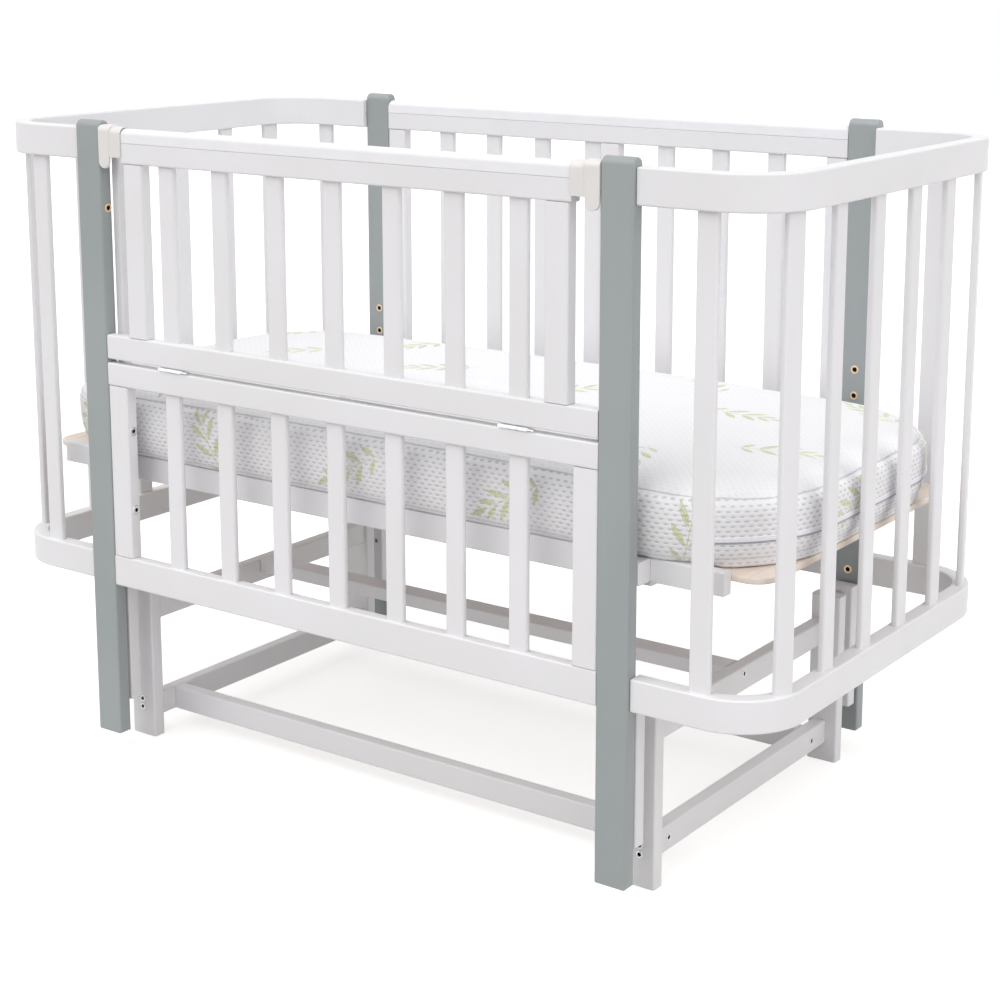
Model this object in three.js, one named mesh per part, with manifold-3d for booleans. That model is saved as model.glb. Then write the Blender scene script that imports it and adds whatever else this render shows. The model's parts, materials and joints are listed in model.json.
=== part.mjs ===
// Convertible crib: four posts carry curved slatted ends, a fixed rear side and a front side whose
// upper half folds down. The crib hangs on four links from a floor stand and swings along its length.
// Lengths are in millimetres. X runs along the crib, +Y to the rear side and +Z up.
// The origin is on the floor, under the middle of the crib.
import * as THREE from 'three';
import { mergeVertices } from 'three/addons/utils/BufferGeometryUtils.js';
import Module from 'manifold-3d';

const wasm = await Module();
wasm.setup();

// Overall
const overallDepth = 640;
const overallHeight = 897;
const footGap = 26; // floor to the feet of the hanging posts
const seat = 0.3; // left between pieces that are fixed together
const cutOverrun = 2; // holes start this far outside the timber

// Timber edges
const edgeRound = 2.5;
const slatRound = 3;
const roundSteps = 1;
const rimSteps = 2;
const holeSides = 12;

// Posts
const postWidth = 44;
const postThick = 20;
const postSpan = 890; // over the outer faces of a left and a right post
const postTopRound = 9.5;
const postTopSteps = 5;
const insertBore = 5;
const insertDepth = 13;
const lowInsertHeight = 263;
const deckInsertHeight = 408;
const midInsertHeight = 514;
const highInsertHeight = 551;
const sideInsertBore = 3;
const sideInsertDrop = 119; // below the posts' tops

// Fixed front side
const panelThick = 18;
const panelFoot = 247;
const lowRailHeight = 44;
const sidePanelHeight = 319;
const sideTopRailHeight = 32;
const stopWidth = 13.5;
const stopDepth = 14;
const stopClearance = 1.5; // behind the gate
const stopTopDrop = 39; // below the posts' tops
const stopLap = 0.5; // into the rail's back
const sideStileWidth = 35;
const slatWidth = 27;
const slatThick = 9;
const frontSlatCount = 7;

// Folding gate above it
const hingeGap = 5;
const gateTopDrop = 9; // below the posts' tops
const gateLowRailHeight = 34;
const gateTopRailHeight = 47;
const gateStileWidth = 33.5;
const gateStileSetback = 43; // from the post to the stile
const gateRailSetback = 39.5; // from the post to the end of the top rail
const gateSideGap = 1;
const capSkirt = 19;
const capWall = 1.5;
const capRound = 8;
const capSteps = 3;

// Gate hinges
const hingeLength = 42;
const hingeInset = 120; // from a post to the middle of a hinge
const hingeReach = 0.5; // pin in front of the panels
const knuckleGap = 0.5;
const pinRadius = 1;
const pinClearance = 0.35;
const pinTail = 9;
const leafThick = 1.2;
const leafDepth = 14;
const leafStandOff = 0.3; // from the other leaf's knuckle to this leaf's plate
const hingeSides = 12;

// Latches at the ends of the gate's top rail
const tabWidth = 21.4;
const tabHeight = 58.5;
const tabRise = 4; // above the gate's top
const tabProud = 1; // past the saddle's front face
const tabBackDraw = 2; // its back nearer the gate than its front
const tabRound = 9;
const tabTopRound = 3;
const tabFootRadius = 9.9;
const saddleLength = 22;
const saddleDepth = 39; // below the gate's top
const saddleWall = 1.7;
const saddlePlay = 0.3;
const latchRim = 1.5;
const latchLap = 3; // saddle's length inside the tab
const tabSteps = 6;
const latchPinRadius = 4;
const latchPinLength = 8.5;
const latchPinDrop = 24; // below the gate's top
const latchPinClearance = 0.6;

// Rear side
const rearTopDrop = 10; // below the posts' tops
const rearTopRailHeight = 45;
const rearStileWidth = 32;
const rearSlatShares = [0.295, 0.54, 0.784]; // of the way from the middle to an end stile
const rearMiddleWidth = 31.5;

// Curved ends
const bowOverhang = 180; // from a post's outer side to the end's outer face
const bowRailThick = 22;
const bowRailInset = 5; // behind the posts' outer faces
const bowCornerRadius = 85;
const bowCornerSteps = 6;
const bowTopDrop = 10.5; // below the posts' tops
const bowTopRailHeight = 43.5;
const bowLowRailFoot = 248.7;
const bowLowRailHeight = 41;
const bowSlatPitchShare = 0.1145; // of the curved rail's length from post to post
const bowSlatCount = 8;

// Floor stand
const legWidth = 44;
const legThick = 20;
const legRise = 12; // above the hanger bolt
const linkToLeg = 21;
const crossRailThick = 19.5;
const upperRailDrop = 34; // below the legs' tops
const upperRailHeight = 34;
const upperCrossInset = 20.5; // from the legs' outer side to the rail's outer face
const upperLongWidth = 34;
const upperLongThick = 20;
const lowerRailFoot = 26;
const lowerRailHeight = 34;
const lowerCrossInset = 16.5;
const lowerLongThick = 20;
const lowerLongInset = 31.5; // from the legs' inner face to the rail's outer face

// Swing links
const linkWidth = 40;
const linkThick = 20;
const linkRise = 16; // above the hanger bolt
const linkDrop = 20; // below the carry bolt
const linkToPost = 5.5;
const hangerHeight = 230;
const pivotDistance = 140;
const boltRadius = 4;
const boltClearance = 0.5;
const boltGrip = 14; // bolt's length inside the timber it is fixed in
const boltHeadRadius = 7.5;
const hangerHeadThick = 4;
const carryHeadThick = 5;
const bushRadius = 9;
const bushClearance = 0.4;
const lockBore = 3.5;
const lockDepth = 12;
const lockDrop = 64; // below the hanger bolt
const lockShift = 8;

// Mattress deck
const deckRailSetback = 28; // from the posts' inner faces to a deck rail
const deckRailThick = 16;
const deckRailHeight = 35;
const deckRailTipGap = 82; // from a rail's end to the crib's outer face
const ledgeThick = 14;
const ledgeHeight = 20;
const ledgeSetback = 12; // from a rail's end to the ledge's end
const tipLength = 98; // of a rail's shallower end
const tipRelief = 6; // how much higher the underside is there
const blockHeight = 28;
const deckSlatThick = 8.5;
const deckSlatWidth = 46;
const deckSlatCount = 11;
const tapeWidth = 30;
const tapeThick = 3;
const tapeSpread = 90; // from the middle of the crib to a tape
const deckSideGap = 1;
const boardOverhang = 45; // past the ends of the deck rails
const boardWidth = 118;
const boardRadius = 30;
const boardSteps = 6;

// Mattress
const mattressTipClearance = 3;
const mattressSideClearance = 7;
const mattressCorner = 165;
const mattressSide = 85.5; // underside to the edge seam
const mattressCrown = 15;
const mattressTipDrop = 10; // top seam lower at the ends than at the middle
const mattressTuck = 12; // how far the underside is drawn in
const mattressTuckPower = 4;
const mattressWaist = 3;
const mattressSeamInset = 5;
const mattressSagMargin = 30; // from a deck rail to where the underside starts to sag
const mattressSagBlend = 14;
const mattressTipSag = 13; // from a deck rail's end back to where the underside sags past it
const mattressSideShares = [0.1, 0.3, 0.55, 0.8];
const mattressCrownRows = [[0.05, 0.45], [0.15, 0.75], [0.35, 0.93], [0.65, 1]]; // inset, rise
const mattressCornerSteps = 8;
const mattressRunSteps = 3;

// Derived posts and panels
const overallLength = postSpan + 2 * bowOverhang;
const postCentre = (postSpan - postWidth) / 2;
const postInnerSide = postSpan / 2 - postWidth;
const postInnerFace = overallDepth / 2 - postThick;
const panelLine = overallDepth / 2 - postThick / 2;
const lowRailTop = panelFoot + lowRailHeight;
const sideTop = panelFoot + sidePanelHeight;
const frontSlatPitch = (2 * (postInnerSide - seat - sideStileWidth) + slatWidth) / (frontSlatCount + 1);
const gateFoot = sideTop + hingeGap;
const gateTop = overallHeight - gateTopDrop;
const rearTop = overallHeight - rearTopDrop;
const hingeLine = panelLine + panelThick / 2 + hingeReach;
const hingeSpread = postInnerSide - hingeInset;
const knuckleRadius = hingeGap / 2 - seat;
const knuckleBore = pinRadius + pinClearance;
const bowTopRailFoot = overallHeight - bowTopDrop - bowTopRailHeight;

// Derived stand and links
const legHeight = hangerHeight + legRise;
const linkHeight = linkRise + pivotDistance + linkDrop;
const linkLine = postInnerFace - linkToPost - linkThick / 2;
const linkInnerFace = linkLine - linkThick / 2;
const legInnerFace = linkInnerFace - linkToLeg - legThick;
const upperRailTop = legHeight - upperRailDrop;
const carryHeight = hangerHeight - pivotDistance;
const boltHole = boltRadius + boltClearance;

// Derived deck and mattress
const deckRailFoot = deckInsertHeight - deckRailHeight / 2;
const deckRailLength = overallLength - 2 * deckRailTipGap;
const deckRailOuterFace = postInnerFace - deckRailSetback;
const deckRailInnerFace = deckRailOuterFace - deckRailThick;
const deckFoot = deckRailFoot + ledgeHeight + seat;
const boardEdge = deckRailLength / 2 + boardOverhang - boardWidth;
const deckSlatPitch = (2 * boardEdge + deckSlatWidth) / (deckSlatCount + 1);
const mattressLength = overallLength - 2 * (bowRailThick + mattressTipClearance);
const mattressWidth = overallDepth - 2 * (bowRailInset + bowRailThick + mattressSideClearance);
const mattressSag = deckRailHeight - ledgeHeight - seat - deckSlatThick;

// Finishes
const finishes = {
  whitePaint: { color: 0xf1f0f2, roughness: 0.42, metalness: 0 },
  greyPaint: { color: 0x9aa1a0, roughness: 0.48, metalness: 0 },
  whitePlastic: { color: 0xf6f6f6, roughness: 0.3, metalness: 0 },
  creamPlastic: { color: 0xe6e4df, roughness: 0.35, metalness: 0 },
  zincSteel: { color: 0x8f9194, roughness: 0.35, metalness: 1 },
  beech: { color: 0xe2c8ae, roughness: 0.6, metalness: 0 },
  knit: { color: 0xeeedef, roughness: 0.95, metalness: 0 },
};

// Turns that lay an extrusion's length along an axis
const alongX = new THREE.Matrix4().makeBasis(
  new THREE.Vector3(0, 1, 0), new THREE.Vector3(0, 0, 1), new THREE.Vector3(1, 0, 0));
const alongY = new THREE.Matrix4().makeBasis(
  new THREE.Vector3(0, 0, 1), new THREE.Vector3(1, 0, 0), new THREE.Vector3(0, 1, 0));
const alongZ = new THREE.Matrix4();

const ends = [['left', -1], ['right', 1]];
const corners = [
  ['front_left', -1, -1],
  ['front_right', 1, -1],
  ['rear_left', -1, 1],
  ['rear_right', 1, 1],
];

// Named mesh in its own material
function piece(name, geometry, finish, x, y, z) {
  const mesh = new THREE.Mesh(geometry, new THREE.MeshStandardMaterial(finishes[finish]));
  mesh.name = name;
  mesh.position.set(x, y, z);
  return mesh;
}

// Closed solid for joining and cutting
function solid(geometry) {
  const bare = geometry.clone();
  bare.deleteAttribute('normal');
  bare.deleteAttribute('uv');
  const merged = mergeVertices(bare);
  return new wasm.Manifold(new wasm.Mesh({
    numProp: 3,
    vertProperties: merged.attributes.position.array,
    triVerts: merged.index.array,
  }));
}

// Geometry of a joined or cut solid
function shell(manifold) {
  const { vertProperties, triVerts } = manifold.getMesh();
  const geometry = new THREE.BufferGeometry();
  geometry.setAttribute('position', new THREE.BufferAttribute(new Float32Array(vertProperties), 3));
  geometry.setIndex(new THREE.BufferAttribute(new Uint32Array(triVerts), 1));
  return geometry;
}

function joined(geometries) {
  return shell(geometries.map(solid).reduce((whole, next) => whole.add(next)));
}

function cut(geometry, tools) {
  return shell(tools.map(solid).reduce((whole, tool) => whole.subtract(tool), solid(geometry)));
}

function shared(first, second) {
  return shell(solid(first).intersect(solid(second)));
}

function moved(geometry, x, y, z) {
  return geometry.translate(x, y, z);
}

// Rectangle about the origin with round corners
function roundedRect(width, height, radius) {
  const x = width / 2 - radius;
  const y = height / 2 - radius;
  const shape = new THREE.Shape();
  shape.absarc(x, y, radius, 0, Math.PI / 2);
  shape.absarc(-x, y, radius, Math.PI / 2, Math.PI);
  shape.absarc(-x, -y, radius, Math.PI, 1.5 * Math.PI);
  shape.absarc(x, -y, radius, 1.5 * Math.PI, 2 * Math.PI);
  shape.closePath();
  return shape;
}

// Shape with a depth, centred on its own plane, its two rims rounded
function slab(shape, depth, rim, axis, steps) {
  const geometry = new THREE.ExtrudeGeometry(shape, {
    depth: depth - 2 * rim,
    curveSegments: steps,
    bevelEnabled: rim > 0,
    bevelThickness: rim,
    bevelSize: rim,
    bevelOffset: -rim,
    bevelSegments: rimSteps,
  });
  geometry.translate(0, 0, rim - depth / 2);
  return geometry.applyMatrix4(axis);
}

// Upright section with a rounded back, seen from its end
function roundBackShape(outer, foot, top, round) {
  const shape = new THREE.Shape();
  shape.moveTo(-outer, foot);
  shape.lineTo(outer, foot);
  shape.absarc(outer - round, top - round, round, 0, Math.PI / 2);
  shape.absarc(round - outer, top - round, round, Math.PI / 2, Math.PI);
  shape.closePath();
  return shape;
}

// The same hollowed from below to a wall
function channelShape(outer, foot, top, round, wall) {
  const inner = outer - wall;
  const shape = new THREE.Shape();
  shape.moveTo(-outer, foot);
  shape.lineTo(-inner, foot);
  shape.absarc(round - outer, top - round, round - wall, Math.PI, Math.PI / 2, true);
  shape.absarc(outer - round, top - round, round - wall, Math.PI / 2, 0, true);
  shape.lineTo(inner, foot);
  shape.lineTo(outer, foot);
  shape.absarc(outer - round, top - round, round, 0, Math.PI / 2);
  shape.absarc(round - outer, top - round, round, Math.PI / 2, Math.PI);
  shape.closePath();
  return shape;
}

// Straight bar about the origin. Its section is across by up, in the order Y Z, Z X or X Y.
function bar(length, across, up, axis, round = edgeRound) {
  return slab(roundedRect(across, up, round), length, 0, axis, roundSteps);
}

// Round rod about the origin
function rod(radius, length, axis, sides = holeSides) {
  const shape = new THREE.Shape().absarc(0, 0, radius, 0, 2 * Math.PI);
  return slab(shape, length, 0, axis, Math.ceil(sides / 2));
}

// Rod for a hole of some depth, from a face at place along the axis into the timber below it
function drill(radius, depth, axis) {
  const length = depth + cutOverrun;
  return rod(radius, length, axis).translate(...shifted(axis, length / 2 - depth));
}

function shifted(axis, distance) {
  return new THREE.Vector3(0, 0, distance).applyMatrix4(axis).toArray();
}

// Post about its middle: inner face towards +Y, inner side towards inner * X
function postGeometry(inner, isFront) {
  const height = overallHeight - footGap;
  const halfThick = postThick / 2;
  const top = height / 2;
  const blank = slab(roundBackShape(halfThick, -top, top, postTopRound), postWidth, edgeRound,
    alongX, postTopSteps);
  const middle = (overallHeight + footGap) / 2;
  const tools = [lowInsertHeight, deckInsertHeight, midInsertHeight, highInsertHeight].map(
    (up) => moved(drill(insertBore, insertDepth, alongY), 0, halfThick, up - middle));
  tools.push(moved(drill(boltHole, boltGrip + seat, alongY), 0, halfThick, carryHeight - middle));
  if (isFront) {
    const sideHoles = [
      [sideInsertBore, insertDepth, overallHeight - sideInsertDrop],
      [latchPinRadius + latchPinClearance, latchPinLength + seat, gateTop - latchPinDrop],
    ];
    for (const [radius, depth, up] of sideHoles) {
      const tool = moved(drill(radius, depth, alongX), postWidth / 2, 0, up - middle);
      tools.push(inner > 0 ? tool : tool.rotateZ(Math.PI));
    }
  }
  return cut(blank, tools);
}

function posts() {
  const group = new THREE.Group();
  for (const [word, side, face] of corners) {
    const isFront = face < 0;
    const mesh = piece(`post_${word}`, postGeometry(isFront ? -side : side, isFront), 'greyPaint',
      side * postCentre, face * panelLine, (overallHeight + footGap) / 2);
    mesh.rotation.z = isFront ? 0 : Math.PI;
    group.add(mesh);
  }
  return group;
}

// Rail about its middle with a row of slats that stand on that middle, length long
function slatRail(railLength, railHeight, places, length) {
  const rail = bar(railLength, panelThick, railHeight, alongX);
  const slats = places.map(
    (x) => moved(bar(length, slatWidth, slatThick, alongZ, slatRound), x, 0, length / 2));
  return joined([rail, ...slats]);
}

function frontSlatPlaces() {
  const middle = (frontSlatCount - 1) / 2;
  return Array.from({ length: frontSlatCount }, (_, index) => (index - middle) * frontSlatPitch);
}

function rearSlatPlaces() {
  const stileEdge = postInnerSide - seat - rearStileWidth;
  return rearSlatShares.flatMap((share) => [share * stileEdge, -share * stileEdge]);
}

// Upright between a low and a top rail, about its middle
function stile(width, openHeight) {
  return bar(openHeight - 2 * seat, width, panelThick, alongZ);
}

// Top rail of the fixed front side, with an upright stop for the gate glued behind each end
function stoppedRail(length) {
  const front = stopClearance + panelThick / 2;
  const rise = overallHeight - stopTopDrop - sideTop;
  const parts = [bar(length, panelThick, sideTopRailHeight, alongX)];
  for (const [, side] of ends) {
    const x = side * (length - stopWidth) / 2;
    parts.push(moved(bar(sideTopRailHeight + rise, stopWidth, stopDepth, alongZ),
      x, front + stopDepth / 2, rise / 2));
    parts.push(moved(bar(sideTopRailHeight, stopWidth, stopDepth, alongZ),
      x, (panelThick + stopDepth) / 2 - stopLap, 0));
  }
  return joined(parts);
}

// Fixed lower half of the front side
function frontSide() {
  const group = new THREE.Group();
  group.position.y = -panelLine;
  const length = 2 * (postInnerSide - seat);
  const openHeight = sidePanelHeight - lowRailHeight - sideTopRailHeight;
  group.add(piece('side_slat_rail',
    slatRail(length, lowRailHeight, frontSlatPlaces(), lowRailHeight / 2 + openHeight - seat),
    'whitePaint', 0, 0, panelFoot + lowRailHeight / 2));
  group.add(piece('side_top_rail', stoppedRail(length), 'whitePaint',
    0, 0, sideTop - sideTopRailHeight / 2));
  for (const [word, side] of ends) {
    group.add(piece(`side_stile_${word}`, stile(sideStileWidth, openHeight), 'whitePaint',
      side * (postInnerSide - seat - sideStileWidth / 2), 0, lowRailTop + openHeight / 2));
  }
  return group;
}

// Channel over the narrowed top edge of a rail, about the middle of its top face
function capGeometry(length) {
  return slab(channelShape(panelThick / 2, -capSkirt, 0, capRound, capWall), length, 0, alongX,
    capSteps);
}

// Rail whose top edge is narrowed for a cap, about the middle of the cap's top face
function cappedRail(length, height) {
  const outer = panelThick / 2;
  const neck = outer - capWall - seat;
  const neckRound = capRound - capWall - seat;
  const shoulder = -capSkirt - seat;
  const profile = new THREE.Shape();
  profile.absarc(edgeRound - outer, edgeRound - height, edgeRound, Math.PI, 1.5 * Math.PI);
  profile.absarc(outer - edgeRound, edgeRound - height, edgeRound, 1.5 * Math.PI, 2 * Math.PI);
  profile.lineTo(outer, shoulder);
  profile.lineTo(neck, shoulder);
  profile.absarc(outer - capRound, -capRound, neckRound, 0, Math.PI / 2);
  profile.absarc(capRound - outer, -capRound, neckRound, Math.PI / 2, Math.PI);
  profile.lineTo(-neck, shoulder);
  profile.lineTo(-outer, shoulder);
  profile.closePath();
  return slab(profile, length, 0, alongX, rimSteps);
}

// Fixed rear side
function rearSide() {
  const group = new THREE.Group();
  group.position.y = panelLine;
  const length = 2 * (postInnerSide - seat);
  const openHeight = rearTop - rearTopRailHeight - lowRailTop;
  const slatLength = lowRailHeight / 2 + openHeight - seat;
  const stileAt = (length - rearStileWidth) / 2;
  const middleAt = (rearMiddleWidth + seat) / 2;
  const stiles = [-stileAt, stileAt].map((x) => moved(
    bar(slatLength, rearStileWidth, panelThick, alongZ), x, 0, slatLength / 2));
  stiles.push(moved(bar(slatLength, rearMiddleWidth, slatThick, alongZ, slatRound),
    -middleAt, 0, slatLength / 2));
  group.add(piece('rear_slat_rail',
    joined([slatRail(length, lowRailHeight, rearSlatPlaces(), slatLength), ...stiles]),
    'whitePaint', 0, 0, panelFoot + lowRailHeight / 2));
  group.add(piece('rear_top_rail', cappedRail(length, rearTopRailHeight), 'whitePaint',
    0, 0, rearTop));
  group.add(piece('rear_cap', capGeometry(length), 'whitePlastic', 0, 0, rearTop));
  group.add(piece('rear_middle_stile', stile(rearMiddleWidth, openHeight), 'whitePaint',
    middleAt, 0, lowRailTop + openHeight / 2));
  return group;
}

// Folding upper half of the front side
function gate() {
  const group = new THREE.Group();
  group.position.y = -panelLine;
  const openHeight = gateTop - gateFoot - gateLowRailHeight - gateTopRailHeight;
  const topRailLength = 2 * (postInnerSide - gateRailSetback);
  group.add(piece('gate_slat_rail',
    slatRail(2 * (postInnerSide - gateSideGap), gateLowRailHeight, frontSlatPlaces(),
      gateLowRailHeight / 2 + openHeight - seat),
    'whitePaint', 0, 0, gateFoot + gateLowRailHeight / 2));
  group.add(piece('gate_top_rail', cappedRail(topRailLength, gateTopRailHeight), 'whitePaint',
    0, 0, gateTop));
  group.add(piece('gate_cap', capGeometry(topRailLength), 'whitePlastic', 0, 0, gateTop));
  for (const [word, side] of ends) {
    group.add(piece(`gate_stile_${word}`, stile(gateStileWidth, openHeight), 'whitePaint',
      side * (postInnerSide - gateStileSetback - gateStileWidth / 2), 0,
      gateFoot + gateLowRailHeight + openHeight / 2));
    group.add(piece(`latch_${word}`, latchGeometry(side), 'creamPlastic',
      side * postInnerSide, 0, gateTop));
  }
  return group;
}

// Tab seen from the front, about the middle of its top edge: its side at the post is upright, the
// other drawn in, and its foot is round
function tabShape() {
  const corner = tabWidth / 2 - tabTopRound;
  const footDrop = tabHeight - tabFootRadius;
  const footAt = tabWidth / 2 - tabFootRadius;
  const across = tabWidth - tabFootRadius;
  const reach = Math.hypot(across, footDrop - tabTopRound);
  const lean = Math.atan2(footDrop - tabTopRound, across) - Math.acos(tabFootRadius / reach);
  const shape = new THREE.Shape();
  shape.absarc(corner, -tabTopRound, tabTopRound, 0, Math.PI / 2);
  shape.absarc(-corner, -tabTopRound, tabTopRound, Math.PI / 2, Math.PI);
  shape.absarc(footAt, -footDrop, tabFootRadius, Math.PI - lean, 2 * Math.PI);
  shape.closePath();
  return shape;
}

// Latch from the post's inner side and the gate's top: saddle over the rail, tab with a round foot
// and a rolled top, and pin
function latchGeometry(side) {
  const wall = saddleWall;
  const outer = panelThick / 2 + saddlePlay + wall;
  const tabMiddle = -seat - tabWidth / 2;
  const front = new THREE.Matrix4().makeBasis(
    new THREE.Vector3(1, 0, 0), new THREE.Vector3(0, 0, 1), new THREE.Vector3(0, -1, 0));
  const tabOuter = outer + tabProud - tabBackDraw / 2;
  const roll = slab(roundBackShape(tabOuter, -tabHeight - cutOverrun, 0, tabRound),
    tabWidth + 2 * cutOverrun, 0, alongX, tabSteps);
  const tab = shared(slab(tabShape(), 2 * tabOuter, latchRim, front, tabSteps), roll);
  moved(tab, tabMiddle, -side * tabBackDraw / 2, tabRise);
  const profile = channelShape(
    outer, -saddleDepth, saddlePlay + wall, capRound + saddlePlay + wall, wall);
  const saddle = moved(slab(profile, saddleLength, 0, alongX, capSteps),
    -seat - tabWidth + latchLap - saddleLength / 2, 0, 0);
  const pinLength = latchPinLength + tabWidth / 2;
  const pin = moved(rod(latchPinRadius, pinLength, alongX),
    latchPinLength - pinLength / 2, 0, -latchPinDrop);
  const latch = joined([tab, saddle, pin]);
  return side > 0 ? latch : latch.rotateZ(Math.PI);
}

// Tube along X about the origin
function knuckle(length) {
  const half = length / 2;
  const outline = [
    new THREE.Vector2(knuckleBore, -half),
    new THREE.Vector2(knuckleRadius, -half),
    new THREE.Vector2(knuckleRadius, half),
    new THREE.Vector2(knuckleBore, half),
    new THREE.Vector2(knuckleBore, -half),
  ];
  return new THREE.LatheGeometry(outline, hingeSides).rotateZ(-Math.PI / 2);
}

// Plate of a hinge leaf with tongues to its knuckles, about the middle of the pin
function leafPlates(up, places, width) {
  const plateFront = knuckleRadius + leafStandOff;
  const middle = up * (hingeGap / 2 - seat - leafThick / 2);
  const tongueFront = (knuckleBore + knuckleRadius) / 2 - knuckleRadius;
  const reach = plateFront + leafThick - tongueFront;
  const plates = places.map((place) => moved(new THREE.BoxGeometry(width, reach, leafThick),
    place, tongueFront + reach / 2, middle));
  plates.push(moved(new THREE.BoxGeometry(hingeLength, leafDepth, leafThick),
    0, plateFront + leafDepth / 2, middle));
  return plates;
}

// The pin is riveted into the fixed leaf's two outer knuckles
function fixedLeaf() {
  const third = hingeLength / 3;
  const places = [-third, third];
  const width = third - knuckleGap;
  const knuckles = places.map((place) => moved(rod(knuckleRadius, width, alongX, hingeSides), place, 0, 0));
  const pin = moved(rod(pinRadius, hingeLength + pinTail, alongX, hingeSides), pinTail / 2, 0, 0);
  return joined([...leafPlates(-1, places, width), ...knuckles, pin]);
}

function gateLeaf() {
  const width = hingeLength / 3 - knuckleGap;
  const bore = rod(knuckleBore, width + 2 * cutOverrun, alongX, hingeSides);
  return cut(joined([...leafPlates(1, [0], width), knuckle(width)]), [bore]);
}

function hinges() {
  const group = new THREE.Group();
  group.position.set(0, -hingeLine, sideTop + hingeGap / 2);
  for (const [word, side] of ends) {
    group.add(piece(`hinge_leaf_fixed_${word}`, fixedLeaf(), 'zincSteel', side * hingeSpread, 0, 0));
    group.add(piece(`hinge_leaf_gate_${word}`, gateLeaf(), 'zincSteel', side * hingeSpread, 0, 0));
  }
  return group;
}

// Curved rail seen from above, from the front post round the end to the rear post.
// X is measured outwards from the posts' outer side.
function endRailShape() {
  const outerX = bowOverhang;
  const outerY = overallDepth / 2 - bowRailInset;
  const arcX = outerX - bowCornerRadius;
  const arcY = outerY - bowCornerRadius;
  const innerRadius = bowCornerRadius - bowRailThick;
  const shape = new THREE.Shape();
  shape.moveTo(seat, -outerY);
  shape.lineTo(arcX, -outerY);
  shape.absarc(arcX, -arcY, bowCornerRadius, -Math.PI / 2, 0);
  shape.absarc(arcX, arcY, bowCornerRadius, 0, Math.PI / 2);
  shape.lineTo(seat, outerY);
  shape.lineTo(seat, outerY - bowRailThick);
  shape.absarc(arcX, arcY, innerRadius, Math.PI / 2, 0, true);
  shape.absarc(arcX, -arcY, innerRadius, 0, -Math.PI / 2, true);
  shape.lineTo(seat, bowRailThick - outerY);
  shape.closePath();
  return shape;
}

function endRail(height) {
  return slab(endRailShape(), height, edgeRound, alongZ, bowCornerSteps);
}

// Place and turn of a point on the curved rail's middle line, a share of its length from its middle
function onEndRail(share) {
  const radius = bowCornerRadius - bowRailThick / 2;
  const x = bowOverhang - bowRailThick / 2;
  const y = overallDepth / 2 - bowRailInset - bowRailThick / 2;
  const straight = y - radius;
  const arc = radius * Math.PI / 2;
  const distance = share * 2 * (straight + arc + x - radius);
  const sign = Math.sign(distance);
  const past = Math.abs(distance) - straight;
  if (past <= 0) {
    return { x, y: distance, turn: 0 };
  }
  if (past <= arc) {
    const angle = past / radius;
    return {
      x: x - radius + radius * Math.cos(angle),
      y: sign * (straight + radius * Math.sin(angle)),
      turn: sign * angle,
    };
  }
  return { x: x - radius - (past - arc), y: sign * y, turn: sign * Math.PI / 2 };
}

// Low rail about its middle with its slats
function endSlatRail() {
  const slatLength = bowTopRailFoot - bowLowRailFoot - bowLowRailHeight / 2 - seat;
  const parts = [endRail(bowLowRailHeight)];
  for (let index = 0; index < bowSlatCount; index += 1) {
    const { x, y, turn } = onEndRail((index - (bowSlatCount - 1) / 2) * bowSlatPitchShare);
    const slat = bar(slatLength, slatThick, slatWidth, alongZ, slatRound);
    parts.push(moved(slat.rotateZ(turn), x, y, slatLength / 2));
  }
  return joined(parts);
}

function crossEnds() {
  const group = new THREE.Group();
  for (const [word, side] of ends) {
    const end = new THREE.Group();
    end.position.x = side * postSpan / 2;
    end.rotation.z = side > 0 ? 0 : Math.PI;
    end.add(piece(`end_top_rail_${word}`, endRail(bowTopRailHeight), 'whitePaint',
      0, 0, bowTopRailFoot + bowTopRailHeight / 2));
    end.add(piece(`end_slat_rail_${word}`, endSlatRail(), 'whitePaint',
      0, 0, bowLowRailFoot + bowLowRailHeight / 2));
    group.add(end);
  }
  return group;
}

// Timber with bolt holes right through it or part of the way in from its +Y face, about its middle
function drilledBar(length, width, thick, holes) {
  const tools = holes.map(([radius, depth, x, z]) => moved(drill(radius, depth, alongY), x, thick / 2, z));
  return cut(bar(length, width, thick, alongZ), tools);
}

// Leg about its middle, its outer face towards +Y
function legGeometry() {
  const hangerFromMiddle = hangerHeight - legHeight / 2;
  return drilledBar(legHeight, legWidth, legThick, [
    [boltHole, boltGrip + seat, 0, hangerFromMiddle],
    [lockBore, lockDepth, lockShift, hangerFromMiddle - lockDrop],
  ]);
}

// Link about its middle, its outer face towards +Y
function linkGeometry() {
  const hangerFromMiddle = linkHeight / 2 - linkRise;
  const through = linkThick + cutOverrun;
  return drilledBar(linkHeight, linkWidth, linkThick, [
    [boltHole, through, 0, hangerFromMiddle],
    [boltHole, through, 0, hangerFromMiddle - pivotDistance],
    [lockBore, through, lockShift, hangerFromMiddle - lockDrop],
  ]);
}

// Headed bolt along Y as a turned profile: head, shank through the link, bush, shank into timber.
// It starts at the link's face on the head's side and runs towards +Y.
function boltGeometry(headThick, gap) {
  const bushStart = linkThick + bushClearance;
  const bushEnd = linkThick + gap - bushClearance;
  const outline = [
    new THREE.Vector2(0, -headThick - bushClearance),
    new THREE.Vector2(boltHeadRadius, -headThick - bushClearance),
    new THREE.Vector2(boltHeadRadius, -bushClearance),
    new THREE.Vector2(boltRadius, -bushClearance),
    new THREE.Vector2(boltRadius, bushStart),
    new THREE.Vector2(bushRadius, bushStart),
    new THREE.Vector2(bushRadius, bushEnd),
    new THREE.Vector2(boltRadius, bushEnd),
    new THREE.Vector2(boltRadius, linkThick + gap + boltGrip),
    new THREE.Vector2(0, linkThick + gap + boltGrip),
  ];
  return new THREE.LatheGeometry(outline, holeSides);
}

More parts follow.
